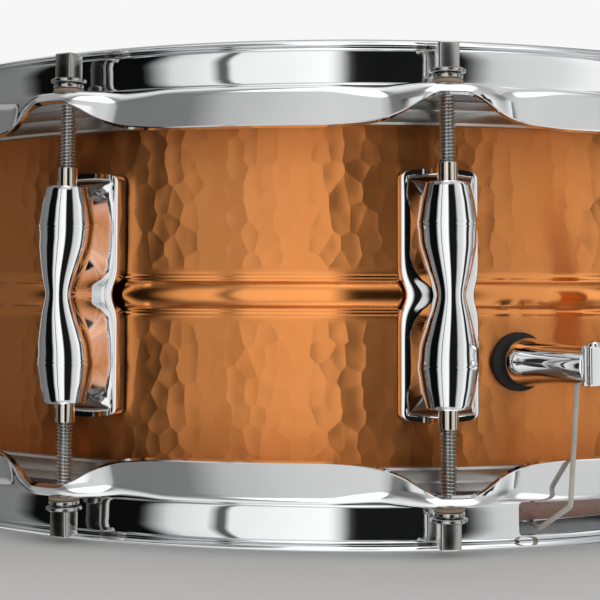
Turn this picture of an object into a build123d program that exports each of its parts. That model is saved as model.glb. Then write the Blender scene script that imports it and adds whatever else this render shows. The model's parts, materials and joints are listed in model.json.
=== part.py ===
"""Snare drum, 14 in across and 5.5 in deep, with a hammered bronze shell and ten tube lugs.

Millimetres, +Z up. The origin is on the drum's axis, in the plane that the lower hoop stands on.
The snare strainer is at +X, the butt at -X. Heights named "level" are measured from mid-shell,
outwards along the drum's axis, so that both ends of the drum share one set of numbers.
"""
import math
import os

from build123d import *

# Shell
SHELL_RADIUS = 177.0
SHELL_WALL = 1.2
EDGE_LEVEL = 69.85
EDGE_TURN = 4.0
BEAD_LEVEL = 6.3
BEAD_HEIGHT = 2.4
SNARE_BED_DEPTH = 0.8
SNARE_BED_HALF_WIDTH = 40.0
VENT_ANGLE = 72.0
VENT_LEVEL = 24.0
VENT_RADIUS = 5.0

# Heads
FILM = 0.3
FLESH_INNER = 178.6
FLESH_OUTER = 183.4
FLESH_LEVELS = (51.6, 59.6)

# Hoops: a wall that stands around the head, a flange, and a skirt that hangs over the shell
HOOP_METAL = 2.1
WALL_INNER = 180.2
RIM_LEVEL = 77.0
RIM_CURL = 185.4
FLANGE_LEVEL = 60.4
SKIRT_OUTER = 197.2
SKIRT_LEVEL = 49.0
WINDOW_LEVEL = 58.7
WINDOW_FLAT = 7.0
WINDOW_REACH = 41.0
EAR_OUTER = 201.5
EAR_HALF_WIDTH = 7.5
EAR_ROOT_HALF_WIDTH = 15.0
EAR_HOLE = 3.5
BATTER_SHIFT = 0.4
SNARE_SHIFT = -0.6
GATE_HALF_ANGLE = 10.3
GATE_LEVELS = (63.4, 73.6)
MID_LEVEL = RIM_LEVEL + SNARE_SHIFT

# Lugs and tension rods
LUG_COUNT = 10
FIRST_LUG_ANGLE = 18.0
ROD_CIRCLE = 191.5
TUBE_HALF_LENGTH = 33.5
TUBE_END_RADIUS = 6.5
TUBE_CREASE_RADIUS = 9.0
TUBE_CREASE_LEVEL = 20.8
TUBE_SHOULDER_RADIUS = 8.45
TUBE_SHOULDER_LEVEL = 14.8
TUBE_NECK_RADIUS = 4.45
TUBE_NECK_SHIFT = 3.4
LUG_BORE = 3.3
LUG_BASE_HALF_WIDTH = 12.5
LUG_BASE_HALF_HEIGHT = 38.6
LUG_GASKET = 0.9
LUG_BASE_THICKNESS = 4.3
LUG_SCREW_LEVEL = 28.0
SCREW_RADIUS = 2.0
INSERT_OUTER = 3.2
INSERT_BORE = 2.85
INSERT_END = 39.6
INSERT_DEPTH = 19.6
ROD_RADIUS = 2.6
ROD_END_LEVEL = 24.0
WASHER_OUTER = 4.8
WASHER_INNER = 2.9
WASHER_THICKNESS = 1.3
RUNNING_GAP = 0.3
COLLAR_RADIUS = 5.6
COLLAR_THICKNESS = 1.4
KEY_SQUARE = 6.35
KEY_HEIGHT = 8.0

# Strainer, on the +X side, and butt, on the -X side
STRAINER_HEIGHT = -20.5
POST_SIDE = 29.0
POST_BASE_RADIUS = 7.2
POST_END_RADIUS = 5.9
POST_END_SIDE = 22.6
POST_END_OUT = 203.5
GASKET_RADIUS = 9.15
GASKET_THICKNESS = 2.2
CAP_THICKNESS = 4.5
CAP_SIDES = (12.0, 27.3)
CAP_HALF_HEIGHT = 5.9
DRIVE_OUT = 193.2
DRIVE_RADIUS = 5.5
DRIVE_HALF_LENGTH = 12.0
SPOOL_RADIUS = 3.0
SPOOL_REACH = 25.6
SPOOL_ROOM = 4.9
CORD_RADIUS = 0.8
CORD_TOP_SIDE = 23.1
CORD_HOOP_SIDE = 26.2
CORD_OUT = 197.0
LEVER_HALF_WIDTH = 8.0
LEVER_THICKNESS = 3.2
WHEEL_RADIUS = 7.5
WHEEL_SIDES = (33.4, 40.4)
BUTT_HEIGHT = -38.0
BUTT_HALF_WIDTH = 30.0
BUTT_HALF_HEIGHT = 8.0
BUTT_OUT = 195.6
BUTT_PLATE = 2.8

# Snare wires
STRAND_COUNT = 20
STRAND_PITCH = 2.0
STRAND_RADIUS = 0.75
STRAND_HALF_LENGTH = 152.0
PLATE_ENDS = (150.0, 167.0)
PLATE_HALF_WIDTH = 22.0
PLATE_THICKNESS = 1.0
HEAD_GAP = 0.3
SNARE_LEVEL = EDGE_LEVEL + FILM + HEAD_GAP

LUG_ANGLES = [FIRST_LUG_ANGLE + 360 / LUG_COUNT * i for i in range(LUG_COUNT)]


def revolved(points):
    """A ring with this outline of (radius, level) points, turned about the drum's axis."""
    outline = make_face(Polyline(*[(r, 0, z) for r, z in points], close=True))
    return revolve(outline, axis=Axis.Z, revolution_arc=360)


def tube(outer, inner, low, high):
    """A plain ring between two heights."""
    ring = Cylinder(outer, high - low) - Cylinder(inner, high - low)
    return Pos(0, 0, (low + high) / 2) * ring


def block(x_range, y_range, z_range):
    """A box from its lowest and highest corners."""
    sizes = [high - low for low, high in (x_range, y_range, z_range)]
    middle = [(low + high) / 2 for low, high in (x_range, y_range, z_range)]
    return Pos(*middle) * Box(*sizes)


def rod_along(axis_point, direction, radius, length):
    """A cylinder that starts at a point and runs along a direction."""
    return extrude(Plane(origin=axis_point, z_dir=direction) * Circle(radius), length)


def around(solid, angles):
    """Copies of a solid turned about the drum's axis."""
    return [Rot(0, 0, angle) * solid for angle in angles]


def flipped(solid):
    """The same solid below mid-shell, as its mirror image."""
    return mirror(solid, Plane.XY)


def lifted(solid):
    """From levels about mid-shell to heights above the ground."""
    return Pos(0, 0, MID_LEVEL) * solid


# ---------------------------------------------------------------- shell and heads

def shell_half(sign):
    """One end of the shell wall, with the bearing edge turned in at 45 degrees."""
    inner = SHELL_RADIUS - SHELL_WALL
    turn = EDGE_LEVEL - EDGE_TURN
    slant = SHELL_WALL * math.tan(math.radians(22.5))
    return [
        (SHELL_RADIUS, sign * turn),
        (SHELL_RADIUS - EDGE_TURN, sign * EDGE_LEVEL),
        (inner - EDGE_TURN, sign * (EDGE_LEVEL - SHELL_WALL * 0.4)),
        (inner, sign * (turn - slant)),
    ]


def make_shell():
    """A spun shell: one rolled bead at mid-height and a hole for everything screwed to it."""
    inner = SHELL_RADIUS - SHELL_WALL
    top = shell_half(1)
    bottom = shell_half(-1)
    crown = SHELL_RADIUS + BEAD_HEIGHT
    with BuildPart() as wall:
        with BuildSketch(Plane.XZ):
            with BuildLine():
                Polyline((inner, BEAD_LEVEL), top[3], top[2], top[1], top[0], (SHELL_RADIUS, BEAD_LEVEL))
                ThreePointArc((SHELL_RADIUS, BEAD_LEVEL), (crown, 0), (SHELL_RADIUS, -BEAD_LEVEL))
                Polyline((SHELL_RADIUS, -BEAD_LEVEL), bottom[0], bottom[1], bottom[2], bottom[3],
                         (inner, -BEAD_LEVEL))
                ThreePointArc((inner, -BEAD_LEVEL), (crown - SHELL_WALL, 0), (inner, BEAD_LEVEL))
            make_face()
        revolve(axis=Axis.Z)
    shell = wall.part
    bed_radius = SNARE_BED_HALF_WIDTH ** 2 / (2 * SNARE_BED_DEPTH)
    bed = Rot(0, 90, 0) * Cylinder(bed_radius, 2 * SHELL_RADIUS + 40)
    shell -= Pos(0, 0, -EDGE_LEVEL - bed_radius + SNARE_BED_DEPTH) * bed
    hole = rod_along((SHELL_RADIUS - 12, 0, 0), (1, 0, 0), SCREW_RADIUS + 0.3, 20)
    for level in (LUG_SCREW_LEVEL, -LUG_SCREW_LEVEL):
        for drilled in around(Pos(0, 0, level) * hole, LUG_ANGLES):
            shell -= drilled
    for side in (-1, 1):
        shell -= strainer_bolt(side, SCREW_RADIUS + 0.5, SHELL_RADIUS - 8, 14)
        shell -= butt_bolt(side, SCREW_RADIUS + 0.5, SHELL_RADIUS - 12, 16)
    shell -= vent_axis(VENT_RADIUS + 0.05, SHELL_RADIUS - 6, 12)
    return shell


def make_head():
    """A head film over the bearing edge, down to its flesh hoop."""
    tuck = FLESH_INNER + 0.6
    edge = SHELL_RADIUS - EDGE_TURN
    top = EDGE_LEVEL + 0.02
    turn = EDGE_LEVEL - EDGE_TURN
    reach = SHELL_RADIUS + 0.3
    return revolved([
        (0, top), (edge, top), (reach, turn), (tuck, FLESH_LEVELS[1]),
        (tuck + FILM, FLESH_LEVELS[1]), (reach + FILM, turn + 0.2), (edge + 0.15, top + FILM), (0, top + FILM),
    ])


def make_flesh_hoop():
    """The flat ring that holds the film's edge."""
    low, high = FLESH_LEVELS
    return tube(FLESH_OUTER, FLESH_INNER, low, high)


# ---------------------------------------------------------------- hoops

def skirt_window():
    """The space that the skirt leaves free around one lug, cut outwards along X."""
    flat = WINDOW_FLAT
    reach = WINDOW_REACH
    level = WINDOW_LEVEL
    floor = SKIRT_LEVEL - 6
    with BuildPart() as cutter:
        with BuildSketch(Plane.YZ.offset(SHELL_RADIUS + 9)):
            with BuildLine():
                Line((-flat, level), (flat, level))
                Spline((flat, level), (reach, SKIRT_LEVEL), tangents=((1, -0.75), (1, -0.02)))
                Polyline((reach, SKIRT_LEVEL), (reach, floor), (-reach, floor), (-reach, SKIRT_LEVEL))
                Spline((-reach, SKIRT_LEVEL), (-flat, level), tangents=((1, 0.02), (1, 0.75)))
            make_face()
        extrude(amount=EAR_OUTER - SHELL_RADIUS)
    return cutter.part


def make_ear():
    """A tab of the flange that reaches out over the lug, with a lip along its front."""
    low = FLANGE_LEVEL
    root = SKIRT_OUTER - 4
    tab = make_face(Polyline(
        (root, -EAR_ROOT_HALF_WIDTH), (EAR_OUTER - 2, -EAR_HALF_WIDTH), (EAR_OUTER, -EAR_HALF_WIDTH + 2.5),
        (EAR_OUTER, EAR_HALF_WIDTH - 2.5), (EAR_OUTER - 2, EAR_HALF_WIDTH), (root, EAR_ROOT_HALF_WIDTH),
        close=True,
    ))
    plate = Pos(0, 0, low) * extrude(tab, HOOP_METAL)
    lip = block((EAR_OUTER - 2, EAR_OUTER), (-EAR_HALF_WIDTH + 2.5, EAR_HALF_WIDTH - 2.5), (WINDOW_LEVEL, low))
    return plate + lip


def make_hoop(gates):
    """A bent-metal hoop: curled rim, wall, flange, skirt with windows, and ten ears."""
    wall = WALL_INNER
    metal = HOOP_METAL
    outer = wall + metal
    hoop = revolved([
        (wall, FLANGE_LEVEL), (wall, RIM_LEVEL - 2), (wall + 1.5, RIM_LEVEL), (RIM_CURL, RIM_LEVEL),
        (RIM_CURL, RIM_LEVEL - metal), (outer, RIM_LEVEL - metal), (outer, FLANGE_LEVEL + metal),
        (SKIRT_OUTER, FLANGE_LEVEL + metal), (SKIRT_OUTER, SKIRT_LEVEL), (SKIRT_OUTER - metal, SKIRT_LEVEL),
        (SKIRT_OUTER - metal, FLANGE_LEVEL),
    ])
    hole = rod_along((ROD_CIRCLE, 0, FLANGE_LEVEL - 2), (0, 0, 1), EAR_HOLE, 8)
    for cutter in around(skirt_window(), LUG_ANGLES):
        hoop -= cutter
    for ear in around(make_ear(), LUG_ANGLES):
        hoop += ear
    for drilled in around(hole, LUG_ANGLES):
        hoop -= drilled
    if gates:
        hoop -= gate_cutter(0)
        hoop -= gate_cutter(180)
    return hoop


def gate_cutter(angle):
    """The opening in the wall that the snare cords pass through."""
    low, high = GATE_LEVELS
    half = math.radians(GATE_HALF_ANGLE)
    reach = WALL_INNER + 14
    wedge = make_face(Polyline(
        (0, 0), (reach, -reach * math.tan(half)), (reach, reach * math.tan(half)), close=True,
    ))
    gate = Pos(0, 0, low) * extrude(wedge, high - low)
    gate &= tube(WALL_INNER + HOOP_METAL + 1, WALL_INNER - 2, low - 1, high + 1)
    return Rot(0, 0, angle) * gate


# ---------------------------------------------------------------- lugs and rods

def tube_section(level, radius, shift):
    """The lug tube's round section at one level, moved away from the shell by the shift."""
    return (Plane(origin=(ROD_CIRCLE + shift, 0, level)) * Circle(radius)).face()


def make_tube():
    """The hourglass: a cone at each end, and a waist that leans away from the shell at its neck."""
    crease = tube_section(TUBE_CREASE_LEVEL, TUBE_CREASE_RADIUS, 0)
    cone = loft([crease, tube_section(TUBE_HALF_LENGTH, TUBE_END_RADIUS, 0)])
    shoulder = (TUBE_SHOULDER_RADIUS, TUBE_NECK_SHIFT / 4)
    half_radius = (TUBE_SHOULDER_RADIUS + TUBE_NECK_RADIUS) / 2
    half_way = (TUBE_SHOULDER_LEVEL / 2, half_radius, TUBE_NECK_SHIFT * 0.75)
    waist = loft([
        tube_section(-TUBE_CREASE_LEVEL, TUBE_CREASE_RADIUS, 0),
        tube_section(-TUBE_SHOULDER_LEVEL, *shoulder),
        tube_section(-half_way[0], *half_way[1:]),
        tube_section(0, TUBE_NECK_RADIUS, TUBE_NECK_SHIFT),
        tube_section(half_way[0], *half_way[1:]),
        tube_section(TUBE_SHOULDER_LEVEL, *shoulder),
        crease,
    ])
    return waist + cone + flipped(cone)


def make_lug():
    """A cast tube lug: an hourglass tube, held off the shell by a base with four ridges."""
    base_inner = SHELL_RADIUS + LUG_GASKET
    base_outer = base_inner + LUG_BASE_THICKNESS
    half_width = LUG_BASE_HALF_WIDTH
    half_height = LUG_BASE_HALF_HEIGHT
    slab = block((base_inner - 8, base_outer + 2), (-half_width, half_width), (-half_height, half_height))
    base = slab & tube(base_outer, base_inner, -half_height, half_height)
    foot = Plane(origin=(base_outer - 0.6, 0, 0), z_dir=(1, 0, 0)) * Rectangle(2 * half_height - 6, 20)
    crest = Plane(origin=(ROD_CIRCLE + 1, 0, 0), z_dir=(1, 0, 0)) * Rectangle(9, 5)
    pyramid = loft([foot.face(), crest.face()])
    lug = base + pyramid + make_tube()
    lug -= tube(SHELL_RADIUS + BEAD_HEIGHT + 0.4, base_inner - 6, -BEAD_LEVEL - 1.2, BEAD_LEVEL + 1.2)
    bore = rod_along((ROD_CIRCLE, 0, INSERT_DEPTH - 0.5), (0, 0, 1), LUG_BORE, TUBE_HALF_LENGTH)
    lug = lug - bore - flipped(bore)
    for level in (LUG_SCREW_LEVEL, -LUG_SCREW_LEVEL):
        lug -= rod_along((base_inner - 1, 0, level), (1, 0, 0), SCREW_RADIUS, LUG_BASE_THICKNESS)
    return lug


def make_lug_gasket():
    """The thin pad between a lug's base and the shell, in two halves about the bead."""
    half_width = LUG_BASE_HALF_WIDTH + 0.4
    half_height = LUG_BASE_HALF_HEIGHT + 0.4
    slab = block((SHELL_RADIUS - 6, SHELL_RADIUS + 4), (-half_width, half_width), (-half_height, half_height))
    pad = slab & tube(SHELL_RADIUS + LUG_GASKET, SHELL_RADIUS, -half_height, half_height)
    pad -= block((SHELL_RADIUS - 6, SHELL_RADIUS + 4), (-20, 20), (-BEAD_LEVEL - 1.2, BEAD_LEVEL + 1.2))
    for level in (LUG_SCREW_LEVEL, -LUG_SCREW_LEVEL):
        pad -= rod_along((SHELL_RADIUS - 2, 0, level), (1, 0, 0), SCREW_RADIUS + 0.3, 6)
    return pad


def make_insert():
    """A threaded swivel sleeve in the upper end of a lug, smooth where the rod runs."""
    sleeve = Cylinder(INSERT_OUTER, INSERT_END - INSERT_DEPTH) - Cylinder(INSERT_BORE, INSERT_END - INSERT_DEPTH)
    return Pos(ROD_CIRCLE, 0, (INSERT_END + INSERT_DEPTH) / 2) * sleeve


def make_lug_screw(level):
    """A pan-head screw from inside the shell into a lug's base."""
    washer_face = SHELL_RADIUS - SHELL_WALL - 1.0
    shank = rod_along((washer_face, 0, level), (1, 0, 0), SCREW_RADIUS, 6.0)
    head = rod_along((washer_face - 2.6, 0, level), (1, 0, 0), 3.8, 2.6)
    return head + shank


def make_lug_screw_washer(level):
    """The flat washer under a lug screw."""
    face = SHELL_RADIUS - SHELL_WALL - 1.0
    disc = rod_along((face, 0, level), (1, 0, 0), 4.5, 0.8)
    return disc - rod_along((face - 1, 0, level), (1, 0, 0), SCREW_RADIUS + 0.2, 3)


def washer(level):
    """A flat washer on a tension rod, its lower face at this level."""
    ring = Cylinder(WASHER_OUTER, WASHER_THICKNESS) - Cylinder(WASHER_INNER, WASHER_THICKNESS)
    return Pos(ROD_CIRCLE, 0, level + WASHER_THICKNESS / 2) * ring


def make_rod(shift):
    """A key rod: plain-modelled thread, collar, and a square head for the drum key."""
    ear_top = FLANGE_LEVEL + shift + HOOP_METAL
    seat = ear_top + 2 * WASHER_THICKNESS + 2 * RUNNING_GAP
    shaft = rod_along((ROD_CIRCLE, 0, ROD_END_LEVEL), (0, 0, 1), ROD_RADIUS, seat - ROD_END_LEVEL)
    collar = rod_along((ROD_CIRCLE, 0, seat), (0, 0, 1), COLLAR_RADIUS, COLLAR_THICKNESS)
    key_middle = seat + COLLAR_THICKNESS + KEY_HEIGHT / 2
    key = Pos(ROD_CIRCLE, 0, key_middle) * Box(KEY_SQUARE, KEY_SQUARE, KEY_HEIGHT)
    return shaft + collar + key


# ---------------------------------------------------------------- vent

def vent_axis(radius, start, length):
    """A cylinder on the vent's axis."""
    return Rot(0, 0, VENT_ANGLE) * rod_along((start, 0, VENT_LEVEL), (1, 0, 0), radius, length)


def make_vent():
    """The air vent's grommet: a sleeve with a flange on each side of the shell wall."""
    inside = SHELL_RADIUS - SHELL_WALL - 1.6
    grommet = vent_axis(VENT_RADIUS, inside, 5.2)
    grommet += vent_axis(VENT_RADIUS + 2.4, SHELL_RADIUS + 0.15, 1.5)
    grommet += vent_axis(VENT_RADIUS + 1.8, inside, 1.2)
    return grommet - vent_axis(VENT_RADIUS - 1.4, inside - 2, 12)


# ---------------------------------------------------------------- strainer

def strainer_bolt(side, radius, start, length):
    """A cylinder on the radial axis of one strainer post's bolt."""
    lean = math.asin(POST_SIDE / SHELL_RADIUS)
    out = (math.cos(lean), side * math.sin(lean), 0)
    begin = (start * out[0], start * out[1], STRAINER_HEIGHT)
    return rod_along(begin, out, radius, length)


def post_axis(side):
    """The point where a post leaves the shell, and the unit direction that it leans in."""
    start_out = math.sqrt(SHELL_RADIUS ** 2 - POST_SIDE ** 2) - 2
    start = (start_out, side * POST_SIDE, STRAINER_HEIGHT)
    run = (POST_END_OUT - start_out, side * (POST_END_SIDE - POST_SIDE), 0)
    length = math.hypot(run[0], run[1])
    return start, (run[0] / length, run[1] / length, 0), length


def make_post(side):
    """A cast post with a flared foot, bored across for the cord spool and slotted for the cord."""
    start, lean, length = post_axis(side)
    foot = Plane(origin=start, z_dir=lean) * Circle(POST_BASE_RADIUS)
    waist_at = tuple(s + d * length * 0.38 for s, d in zip(start, lean))
    waist = Plane(origin=waist_at, z_dir=lean) * Circle(POST_END_RADIUS + 0.5)
    end_at = tuple(s + d * (length + 2) for s, d in zip(start, lean))
    end = Plane(origin=end_at, z_dir=lean) * Circle(POST_END_RADIUS)
    post = loft([foot.face(), waist.face(), end.face()])
    seat = SHELL_RADIUS + GASKET_THICKNESS
    post -= Pos(0, 0, STRAINER_HEIGHT) * Cylinder(seat, 60)
    post -= block((POST_END_OUT, POST_END_OUT + 20), (-60, 60), (-60, 20))
    sides = sorted((side * 8.0, side * (SPOOL_REACH + 0.4)))
    room = rod_along((DRIVE_OUT, sides[0], STRAINER_HEIGHT), (0, 1, 0), SPOOL_ROOM, sides[1] - sides[0])
    slot = block((CORD_OUT - 1.5, CORD_OUT + 1.5), sorted((side * (CORD_TOP_SIDE - 2), side * (CORD_TOP_SIDE + 2))),
                 (STRAINER_HEIGHT - 12, STRAINER_HEIGHT))
    post = post - room - slot - strainer_bolt(side, SCREW_RADIUS, SHELL_RADIUS - 2, 11)
    if side > 0:
        post -= rod_along((DRIVE_OUT, 20, STRAINER_HEIGHT), (0, 1, 0), SPOOL_RADIUS + RUNNING_GAP, 20)
    return post


def make_strainer_gasket(side):
    """The rubber ring under one post."""
    ring = strainer_bolt(side, GASKET_RADIUS, SHELL_RADIUS - 6, 14)
    ring -= strainer_bolt(side, SCREW_RADIUS + 0.5, SHELL_RADIUS - 8, 20)
    skin = tube(SHELL_RADIUS + GASKET_THICKNESS, SHELL_RADIUS, STRAINER_HEIGHT - 20, STRAINER_HEIGHT + 20)
    return ring & skin


def make_strainer_screw(side):
    """The bolt from inside the shell into one post."""
    face = SHELL_RADIUS - SHELL_WALL - 1.2
    return strainer_bolt(side, SCREW_RADIUS, face, 8.5) + strainer_bolt(side, 4.4, face - 3, 3)


def make_end_cap(side):
    """The rounded plate that closes a post's outer end, with one domed rivet on top."""
    sides = sorted(side * s for s in CAP_SIDES)
    cap = block((POST_END_OUT, POST_END_OUT + CAP_THICKNESS), sides,
                (STRAINER_HEIGHT - CAP_HALF_HEIGHT, STRAINER_HEIGHT + CAP_HALF_HEIGHT))
    rivet = rod_along((POST_END_OUT + 2.2, side * (CAP_SIDES[1] - 3), STRAINER_HEIGHT + CAP_HALF_HEIGHT),
                      (0, 0, 1), 2.1, 1.6)
    return fillet(cap.edges().filter_by(Axis.X), 1.2) + rivet


def make_drive_cylinder():
    """The cross shaft that the lever turns, with a cord spool at each end."""
    drum = rod_along((DRIVE_OUT, -DRIVE_HALF_LENGTH, STRAINER_HEIGHT), (0, 1, 0), DRIVE_RADIUS,
                     2 * DRIVE_HALF_LENGTH)
    spool = rod_along((DRIVE_OUT, -SPOOL_REACH, STRAINER_HEIGHT), (0, 1, 0), SPOOL_RADIUS, 2 * SPOOL_REACH)
    return drum + spool


def make_lever():
    """The throw lever: a hub on the cross shaft and a blade that curves up and outwards."""
    hub = rod_along((DRIVE_OUT, -LEVER_HALF_WIDTH, STRAINER_HEIGHT), (0, 1, 0), DRIVE_RADIUS + 2.0,
                    2 * LEVER_HALF_WIDTH)
    foot = (DRIVE_OUT + 1.0, STRAINER_HEIGHT + 3)
    middle = (DRIVE_OUT + 1.5, STRAINER_HEIGHT + 20)
    tip = (DRIVE_OUT + 12, STRAINER_HEIGHT + 40)
    front = [(out + LEVER_THICKNESS, height) for out, height in (foot, middle, tip)]
    with BuildPart() as blade:
        with BuildSketch(Plane.XZ):
            with BuildLine():
                Spline(foot, middle, tip)
                Line(tip, front[2])
                Spline(*reversed(front))
                Line(front[0], foot)
            make_face()
        extrude(amount=LEVER_HALF_WIDTH - 1, both=True)
    lever = hub + blade.part
    return lever - rod_along((DRIVE_OUT, -20, STRAINER_HEIGHT), (0, 1, 0), DRIVE_RADIUS, 40)


def make_tension_wheel():
    """The knurled wheel on the end of the strainer's shaft, at the +Y side."""
    low, high = WHEEL_SIDES
    wheel = rod_along((DRIVE_OUT, low, STRAINER_HEIGHT), (0, 1, 0), WHEEL_RADIUS, high - low)
    stem = rod_along((DRIVE_OUT, SPOOL_REACH + 0.6, STRAINER_HEIGHT), (0, 1, 0), SPOOL_RADIUS - 0.3,
                     low - SPOOL_REACH)
    for step in range(24):
        turn = math.radians(15 * step)
        groove_at = (DRIVE_OUT + WHEEL_RADIUS * math.cos(turn), low - 1,
                     STRAINER_HEIGHT + WHEEL_RADIUS * math.sin(turn))
        wheel -= rod_along(groove_at, (0, 1, 0), 0.45, high - low + 2)
    return wheel + stem


# ---------------------------------------------------------------- butt

def butt_bolt(side, radius, start, length):
    """A cylinder on one butt bolt's axis, parallel to X."""
    return rod_along((-start, side * 20.0, BUTT_HEIGHT), (-1, 0, 0), radius, length)


def make_butt_body():
    """The fixed anchor for the snares' other end."""
    body = block((-BUTT_OUT, -SHELL_RADIUS + 12), (-BUTT_HALF_WIDTH, BUTT_HALF_WIDTH),
                 (BUTT_HEIGHT - BUTT_HALF_HEIGHT, BUTT_HEIGHT + BUTT_HALF_HEIGHT))
    body = fillet(body.edges().filter_by(Axis.X), 4)
    body -= Pos(0, 0, BUTT_HEIGHT) * Cylinder(SHELL_RADIUS + LUG_GASKET, 40)
    body -= block((-SHELL_RADIUS - 12, -SHELL_RADIUS), (-13, 13), (BUTT_HEIGHT - 12, BUTT_HEIGHT + 12))
    for side in (-1, 1):
        body -= butt_bolt(side, SCREW_RADIUS, SHELL_RADIUS - 6, 15)
        groove = block((-CORD_OUT - 2, -CORD_OUT + CORD_RADIUS),
                       sorted((side * (CORD_TOP_SIDE - 1), side * (CORD_TOP_SIDE + 1))),
                       (BUTT_HEIGHT - 12, BUTT_HEIGHT + 12))
        body -= groove
        body -= rod_along((-BUTT_OUT - 1, side * 12.0, BUTT_HEIGHT), (1, 0, 0), SCREW_RADIUS, 7)
    return body


def make_butt_gasket():
    """The thin pad between the butt and the shell."""
    pad = block((-SHELL_RADIUS - 6, -SHELL_RADIUS + 12), (-BUTT_HALF_WIDTH - 0.4, BUTT_HALF_WIDTH + 0.4),
                (BUTT_HEIGHT - BUTT_HALF_HEIGHT - 0.4, BUTT_HEIGHT + BUTT_HALF_HEIGHT + 0.4))
    pad &= tube(SHELL_RADIUS + LUG_GASKET, SHELL_RADIUS, BUTT_HEIGHT - 20, BUTT_HEIGHT + 20)
    for side in (-1, 1):
        pad -= butt_bolt(side, SCREW_RADIUS + 0.3, SHELL_RADIUS - 12, 20)
    return pad - block((-SHELL_RADIUS - 6, -SHELL_RADIUS + 6), (-13, 13), (BUTT_HEIGHT - 20, BUTT_HEIGHT + 20))


def make_butt_plate():
    """The plate that clamps the cords, with its two screws' holes."""
    start = CORD_OUT + CORD_RADIUS + 0.1
    plate = block((-start - BUTT_PLATE, -start), (-BUTT_HALF_WIDTH + 1, BUTT_HALF_WIDTH - 1),
                  (BUTT_HEIGHT - BUTT_HALF_HEIGHT + 1, BUTT_HEIGHT + BUTT_HALF_HEIGHT - 1))
    plate = fillet(plate.edges().filter_by(Axis.X), 3)
    for side in (-1, 1):
        plate -= rod_along((-start - 4, side * 12.0, BUTT_HEIGHT), (1, 0, 0), SCREW_RADIUS + 0.2, 8)
    return plate


def make_butt_screw(side):
    """The bolt from inside the shell into the butt."""
    face = SHELL_RADIUS - 8.0
    return butt_bolt(side, SCREW_RADIUS, face, 15) + butt_bolt(side, 4.0, face - 3, 3)


def make_clamp_screw(side):
    """A square-head screw that closes the butt's clamp plate."""
    face = CORD_OUT + CORD_RADIUS + 0.1 + BUTT_PLATE
    shank = rod_along((-face, side * 12.0, BUTT_HEIGHT), (1, 0, 0), SCREW_RADIUS, 8)
    collar = rod_along((-face - 1.2, side * 12.0, BUTT_HEIGHT), (1, 0, 0), 4.0, 1.2)
    key = block((-face - 6.2, -face - 1.2), (side * 12.0 - 2.6, side * 12.0 + 2.6),
                (BUTT_HEIGHT - 2.6, BUTT_HEIGHT + 2.6))
    return shank + collar + key


# ---------------------------------------------------------------- snares and their cords

def make_strands():
    """The coiled wires as one round bar each."""
    level = -SNARE_LEVEL - PLATE_THICKNESS - STRAND_RADIUS
    first = -(STRAND_COUNT - 1) / 2 * STRAND_PITCH
    bars = []
    for i in range(STRAND_COUNT):
        begin = (-STRAND_HALF_LENGTH, first + i * STRAND_PITCH, level)
        bars.append(rod_along(begin, (1, 0, 0), STRAND_RADIUS, 2 * STRAND_HALF_LENGTH))
    return bars


def make_end_plate(sign):
    """The plate that the wires of one end are soldered under."""
    low, high = PLATE_ENDS
    plate = block(sorted((sign * low, sign * high)), (-PLATE_HALF_WIDTH, PLATE_HALF_WIDTH),
                  (-SNARE_LEVEL - PLATE_THICKNESS, -SNARE_LEVEL))
    return fillet(plate.edges().filter_by(Axis.Z), 2)


def make_cord(sign, side, top):
    """A snare cord: down past the skirt, around the flange and in through the gate to the wires."""
    clear = math.sqrt((SKIRT_OUTER + RUNNING_GAP + CORD_RADIUS + 0.1) ** 2 - CORD_HOOP_SIDE ** 2)
    bend_level = FLANGE_LEVEL + SNARE_SHIFT + HOOP_METAL + 0.2
    gate_level = SNARE_LEVEL + 0.4
    plate_end = PLATE_ENDS[1] + 0.4
    route = FilletPolyline(
        (sign * CORD_OUT, side * CORD_TOP_SIDE, top),
        (sign * clear, side * CORD_HOOP_SIDE, -bend_level),
        (sign * (WALL_INNER + HOOP_METAL - 1), side * CORD_HOOP_SIDE, -gate_level),
        (sign * plate_end, side * 19.0, -gate_level - 0.7),
        radius=1.8,
    )
    section = Plane(origin=route @ 0, z_dir=route % 0) * Circle(CORD_RADIUS)
    return sweep(section, path=route)


# ---------------------------------------------------------------- assembly

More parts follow.
